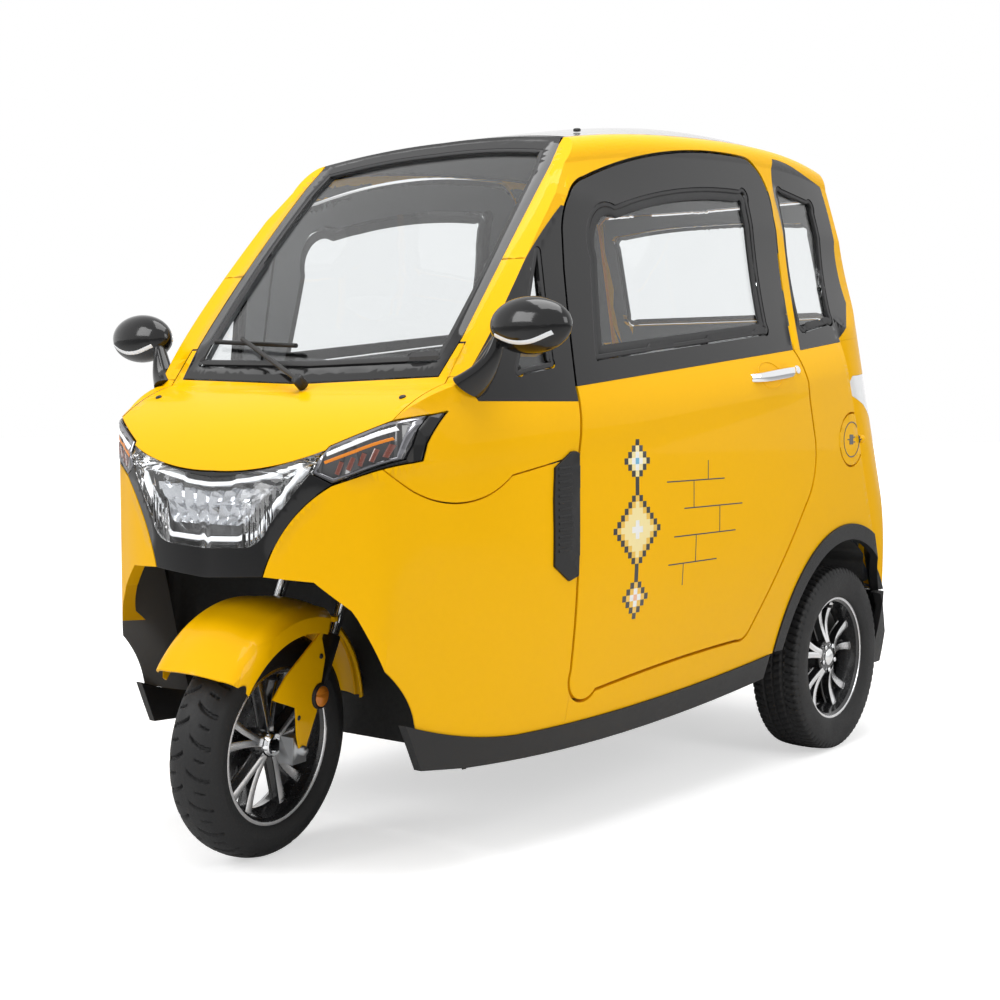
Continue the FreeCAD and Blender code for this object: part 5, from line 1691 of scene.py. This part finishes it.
@dataclass
class SmallParts:
    """Bolts, ribs, rings, reflector bezels and other small fittings."""

    surface: Surface

    def stud(self, name: str, place: Vector, normal: Vector, radius: float, height: float, finish: Finish,
             body: str = "root") -> bpy.types.Object:
        """A domed bolt head that stands on a surface."""
        made = turned(name, [
            (-0.002, 0.0004), (-0.002, radius), (height * 0.45, radius), (height * 0.85, radius * 0.8),
            (height, radius * 0.4), (height, 0.0004)], 28, closed=True)
        made.data.transform(aimed(place, normal))
        return dress(smooth(made, 40.0), finish, body)

    def build(self) -> None:
        """Places every small fitting."""
        for sign, side in ((1, "left"), (-1, "right")):
            place, normal = self.surface.at(Facing.TOP, sign * 0.356, -0.837)
            self.stud(f"bonnet_bolt_{side}", place, normal, 0.007, 0.004, SATIN)
            place, normal = self.surface.at(Facing.TOP, sign * 0.187, -0.02)
            self.stud(f"roof_bolt_{side}", place, normal, 0.009, 0.005, SATIN)
            facing = Facing.LEFT if sign > 0 else Facing.RIGHT
            ribs = []
            for z in range(630, 800, 14):
                path = arc_path([(-516, z), (-476, z + 3)], 12.0, closed=False)
                ribs.append(self.surface.ribbon("rib", facing, path, 0.006, 0.0016, 0.003, closed=False))
            dress(joined(f"hinge_ribs_{side}", ribs), SATIN)
        turn = 2 * math.pi / 48
        ring = [(0.763 + 0.046 * math.cos(i * turn), 0.833 + 0.046 * math.sin(i * turn)) for i in range(48)]
        circle = self.surface.ribbon("flap_ring", Facing.LEFT, ring, 0.0032, 0.0008, 0.001)
        dress(circle, DECAL_BLACK, "charge_flap")
        corners = [(0.750, 0.820), (0.772, 0.820), (0.772, 0.846), (0.750, 0.846)]
        icon = [self.surface.patch("plug", Facing.LEFT, corners, 0.0007, 0.0006, 1)]
        for part, start, end, z in (("prong", 0.772, 0.783, 0.826), ("prong", 0.772, 0.783, 0.839),
                                    ("lead", 0.750, 0.738, 0.833)):
            icon.append(self.surface.ribbon(
                part, Facing.LEFT, [(start, z), (end, z)], 0.003, 0.0007, 0.0006, closed=False))
        dress(joined("flap_icon", icon), DECAL_BLACK, "charge_flap")
        LOG.info("small parts placed")

    def fender(self, frame: dict, centre: Vector, axis: Vector) -> None:
        """Bolts and reflector bezels on both flanks of the front fender.

        Args:
            frame: The loaded frame.
            centre: The front wheel's middle.
            axis: The direction of its axle.
        """
        spots = [v.co for v in frame["nodes"]["fender_reflectors"].data.vertices if v.co.x > 0]
        middle = sum(spots, Vector()) / len(spots)
        radius = max((spot - middle - axis * axis.dot(spot - middle)).length for spot in spots)
        reach = max(axis.dot(spot - middle) for spot in spots)
        bezel = turned("fender_bezel_left", [
            (-reach, radius + 0.0002), (reach * 0.6, radius + 0.0002), (reach * 0.8, radius + 0.0015),
            (reach * 0.8, radius + 0.0040), (-reach, radius + 0.0065)], 40, closed=True)
        bezel.data.transform(aimed(middle, axis))
        left = [coated(smooth(bezel, 30.0), SATIN)]
        for place in (Vector((0.118, -0.821, 0.416)), Vector((0.118, -0.887, 0.299))):
            left.append(self.stud("fender_bolt", place, axis, 0.0055, 0.003, FRAME_BLACK, "steering"))
        one = joined("fender_fittings_left", left)
        other = own_copy(one, "fender_fittings_right")
        other.data.transform(
            Matrix.Translation(centre) @ Matrix.Scale(-1.0, 4, axis) @ Matrix.Translation(-centre))
        other.data.flip_normals()
        for piece in (one, other):
            dress(piece, SATIN, "steering")


@dataclass
class Mirrors:
    """The mirrors' thick arms and clear lamp strips, beside their CAD heads."""

    frame: dict
    foot: Vector = field(default_factory=lambda: Vector((0.436, -0.735, 0.962)))
    elbow: Vector = field(default_factory=lambda: Vector((0.494, -0.714, 1.056)))
    bulge: Vector = field(default_factory=lambda: Vector((0.010, 0.0, -0.006)))
    foot_wider: float = 0.031
    neck_wide: float = 0.016
    foot_thicker: float = 0.013
    neck_thick: float = 0.010

    def arm(self) -> bpy.types.Object:
        """The left arm, lofted from flattened rings that narrow towards the head."""
        steps, around = 14, 24
        verts: list[Vector] = []
        faces: list[tuple[int, ...]] = []
        for i in range(steps + 1):
            t = i / steps
            middle = self.foot.lerp(self.elbow, t) + self.bulge * math.sin(math.pi * t)
            wide = self.foot_wider * (1 - t) ** 1.5 + self.neck_wide
            thick = self.foot_thicker * (1 - t) + self.neck_thick
            along = (self.elbow - self.foot + self.bulge * math.pi * math.cos(math.pi * t)).normalized()
            across = along.cross(Vector((1, 0, 0))).normalized()
            out = across.cross(along).normalized()
            for k in range(around):
                turn = 2 * math.pi * k / around
                verts.append(middle + across * (wide * math.cos(turn)) + out * (thick * math.sin(turn)))
        for i in range(steps):
            for k in range(around):
                a, b = i * around + k, i * around + (k + 1) % around
                faces.append((a, b, b + around, a + around))
        faces.append(tuple(range(around)))
        faces.append(tuple(range(steps * around, (steps + 1) * around)))
        return smooth(outward(from_mesh("mirror_left_arm", verts, faces)), 50.0)

    def build(self) -> None:
        """Builds both arms and both strips."""
        arm = self.arm()
        twin = mirrored(arm, "mirror_right_arm")
        dress(arm, GLOSS)
        dress(twin, GLOSS)
        heads = Surface.of(self.frame, ["side_mirrors"])
        path = smooth_line([(0.500, 1.062), (0.545, 1.048), (0.590, 1.048), (0.636, 1.064)], 6)
        strip = heads.ribbon("mirror_left_strip", Facing.FRONT, path, 0.0075, 0.0010, 0.002, closed=False)
        other = mirrored(strip, "mirror_right_strip")
        dress(strip, TAIL_CLEAR)
        dress(other, TAIL_CLEAR)
        LOG.info("mirrors built")


@dataclass
class Cabin:
    """The padded driver's seat and bench."""

    skins: Skins
    voxel: float = 0.0085
    cap: float = 0.012
    pressure: float = 4.0
    quality: int = 4
    growth: float = -0.02
    frames: int = 15
    shrink: float = 0.985
    seam_depth: float = 0.006
    seam_half: float = 0.007

    def pad(self, node: str) -> bpy.types.Object:
        """A padded piece blown up softly from its CAD solid, which it replaces.

        Args:
            node: The soft CAD node.

        Returns:
            The cushion, with its seams pressed in.
        """
        made = self.skins.copy(node)
        made.name = f"{node}_cover"
        low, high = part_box(node)
        middle = (low + high) / 2
        remesh = made.modifiers.new("Voxels", "REMESH")
        remesh.mode = "VOXEL"
        remesh.voxel_size = self.voxel
        apply_all(made)
        for vert in made.data.vertices:
            vert.co = middle + Vector([(at - centre) * self.shrink for at, centre in zip(vert.co, middle)])
        start = [v.co.copy() for v in made.data.vertices]
        cloth = made.modifiers.new("Cloth", "CLOTH")
        cloth.settings.quality = self.quality
        cloth.settings.use_pressure = True
        cloth.settings.uniform_pressure_force = self.pressure
        cloth.settings.effector_weights.gravity = 0.0
        cloth.settings.shrink_min = self.growth
        scene = bpy.context.scene
        for step in range(1, self.frames + 1):
            scene.frame_set(step)
        apply_all(made)
        scene.frame_set(1)
        for vert, at in zip(made.data.vertices, start):
            move = vert.co - at
            if move.length > self.cap:
                vert.co = at + move.normalized() * self.cap
        self.seams(made, low, high)
        return smooth(made, 60.0)

    def seams(self, piece: bpy.types.Object, low: Vector, high: Vector) -> None:
        """Presses sewn channels into the sitting and leaning faces.

        Args:
            piece: The cushion.
            low: The lowest corner of its node.
            high: The highest corner of its node.
        """
        width = high.x - low.x
        lines = [low.x + width * share for share in (0.2, 0.4, 0.6, 0.8)]
        normals = [n.vector.copy() for n in piece.data.vertex_normals]
        for vert, normal in zip(piece.data.vertices, normals):
            near = min(abs(vert.co.x - at) for at in lines)
            if normal.z > 0.4 or normal.y < -0.4:
                vert.co -= normal * self.seam_depth * math.exp(-((near / self.seam_half) ** 2))

    def build(self) -> None:
        """Builds the two padded pieces."""
        for node in ("driver_seat", "rear_bench"):
            dress(self.pad(node), SEAT, "root", node)
        LOG.info("cushions built")


def main() -> None:
    """Builds every sub-assembly in order."""
    logging.basicConfig(level=logging.INFO)
    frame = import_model()
    rest_selection()
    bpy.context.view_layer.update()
    skins = Skins(frame)
    Studio().build()
    Bodywork(skins).build()
    Mechanics(skins).build()
    wheels = Wheels(skins)
    wheels.build()
    surface = Surface.of(frame, BODY_NODES)
    Seals(Surface.of(frame, PANES)).build()
    Headlamp(skins, surface).build()
    SignalLamps(surface).build()
    DoorMosaic(surface).build()
    DoorHandles(surface).build()
    fittings = SmallParts(surface)
    fittings.build()
    fittings.fender(frame, wheels.front_place, wheels.front_axis)
    Mirrors(frame).build()
    Cabin(skins).build()
    bpy.context.view_layer.update()


if __name__ == "__main__":
    main()
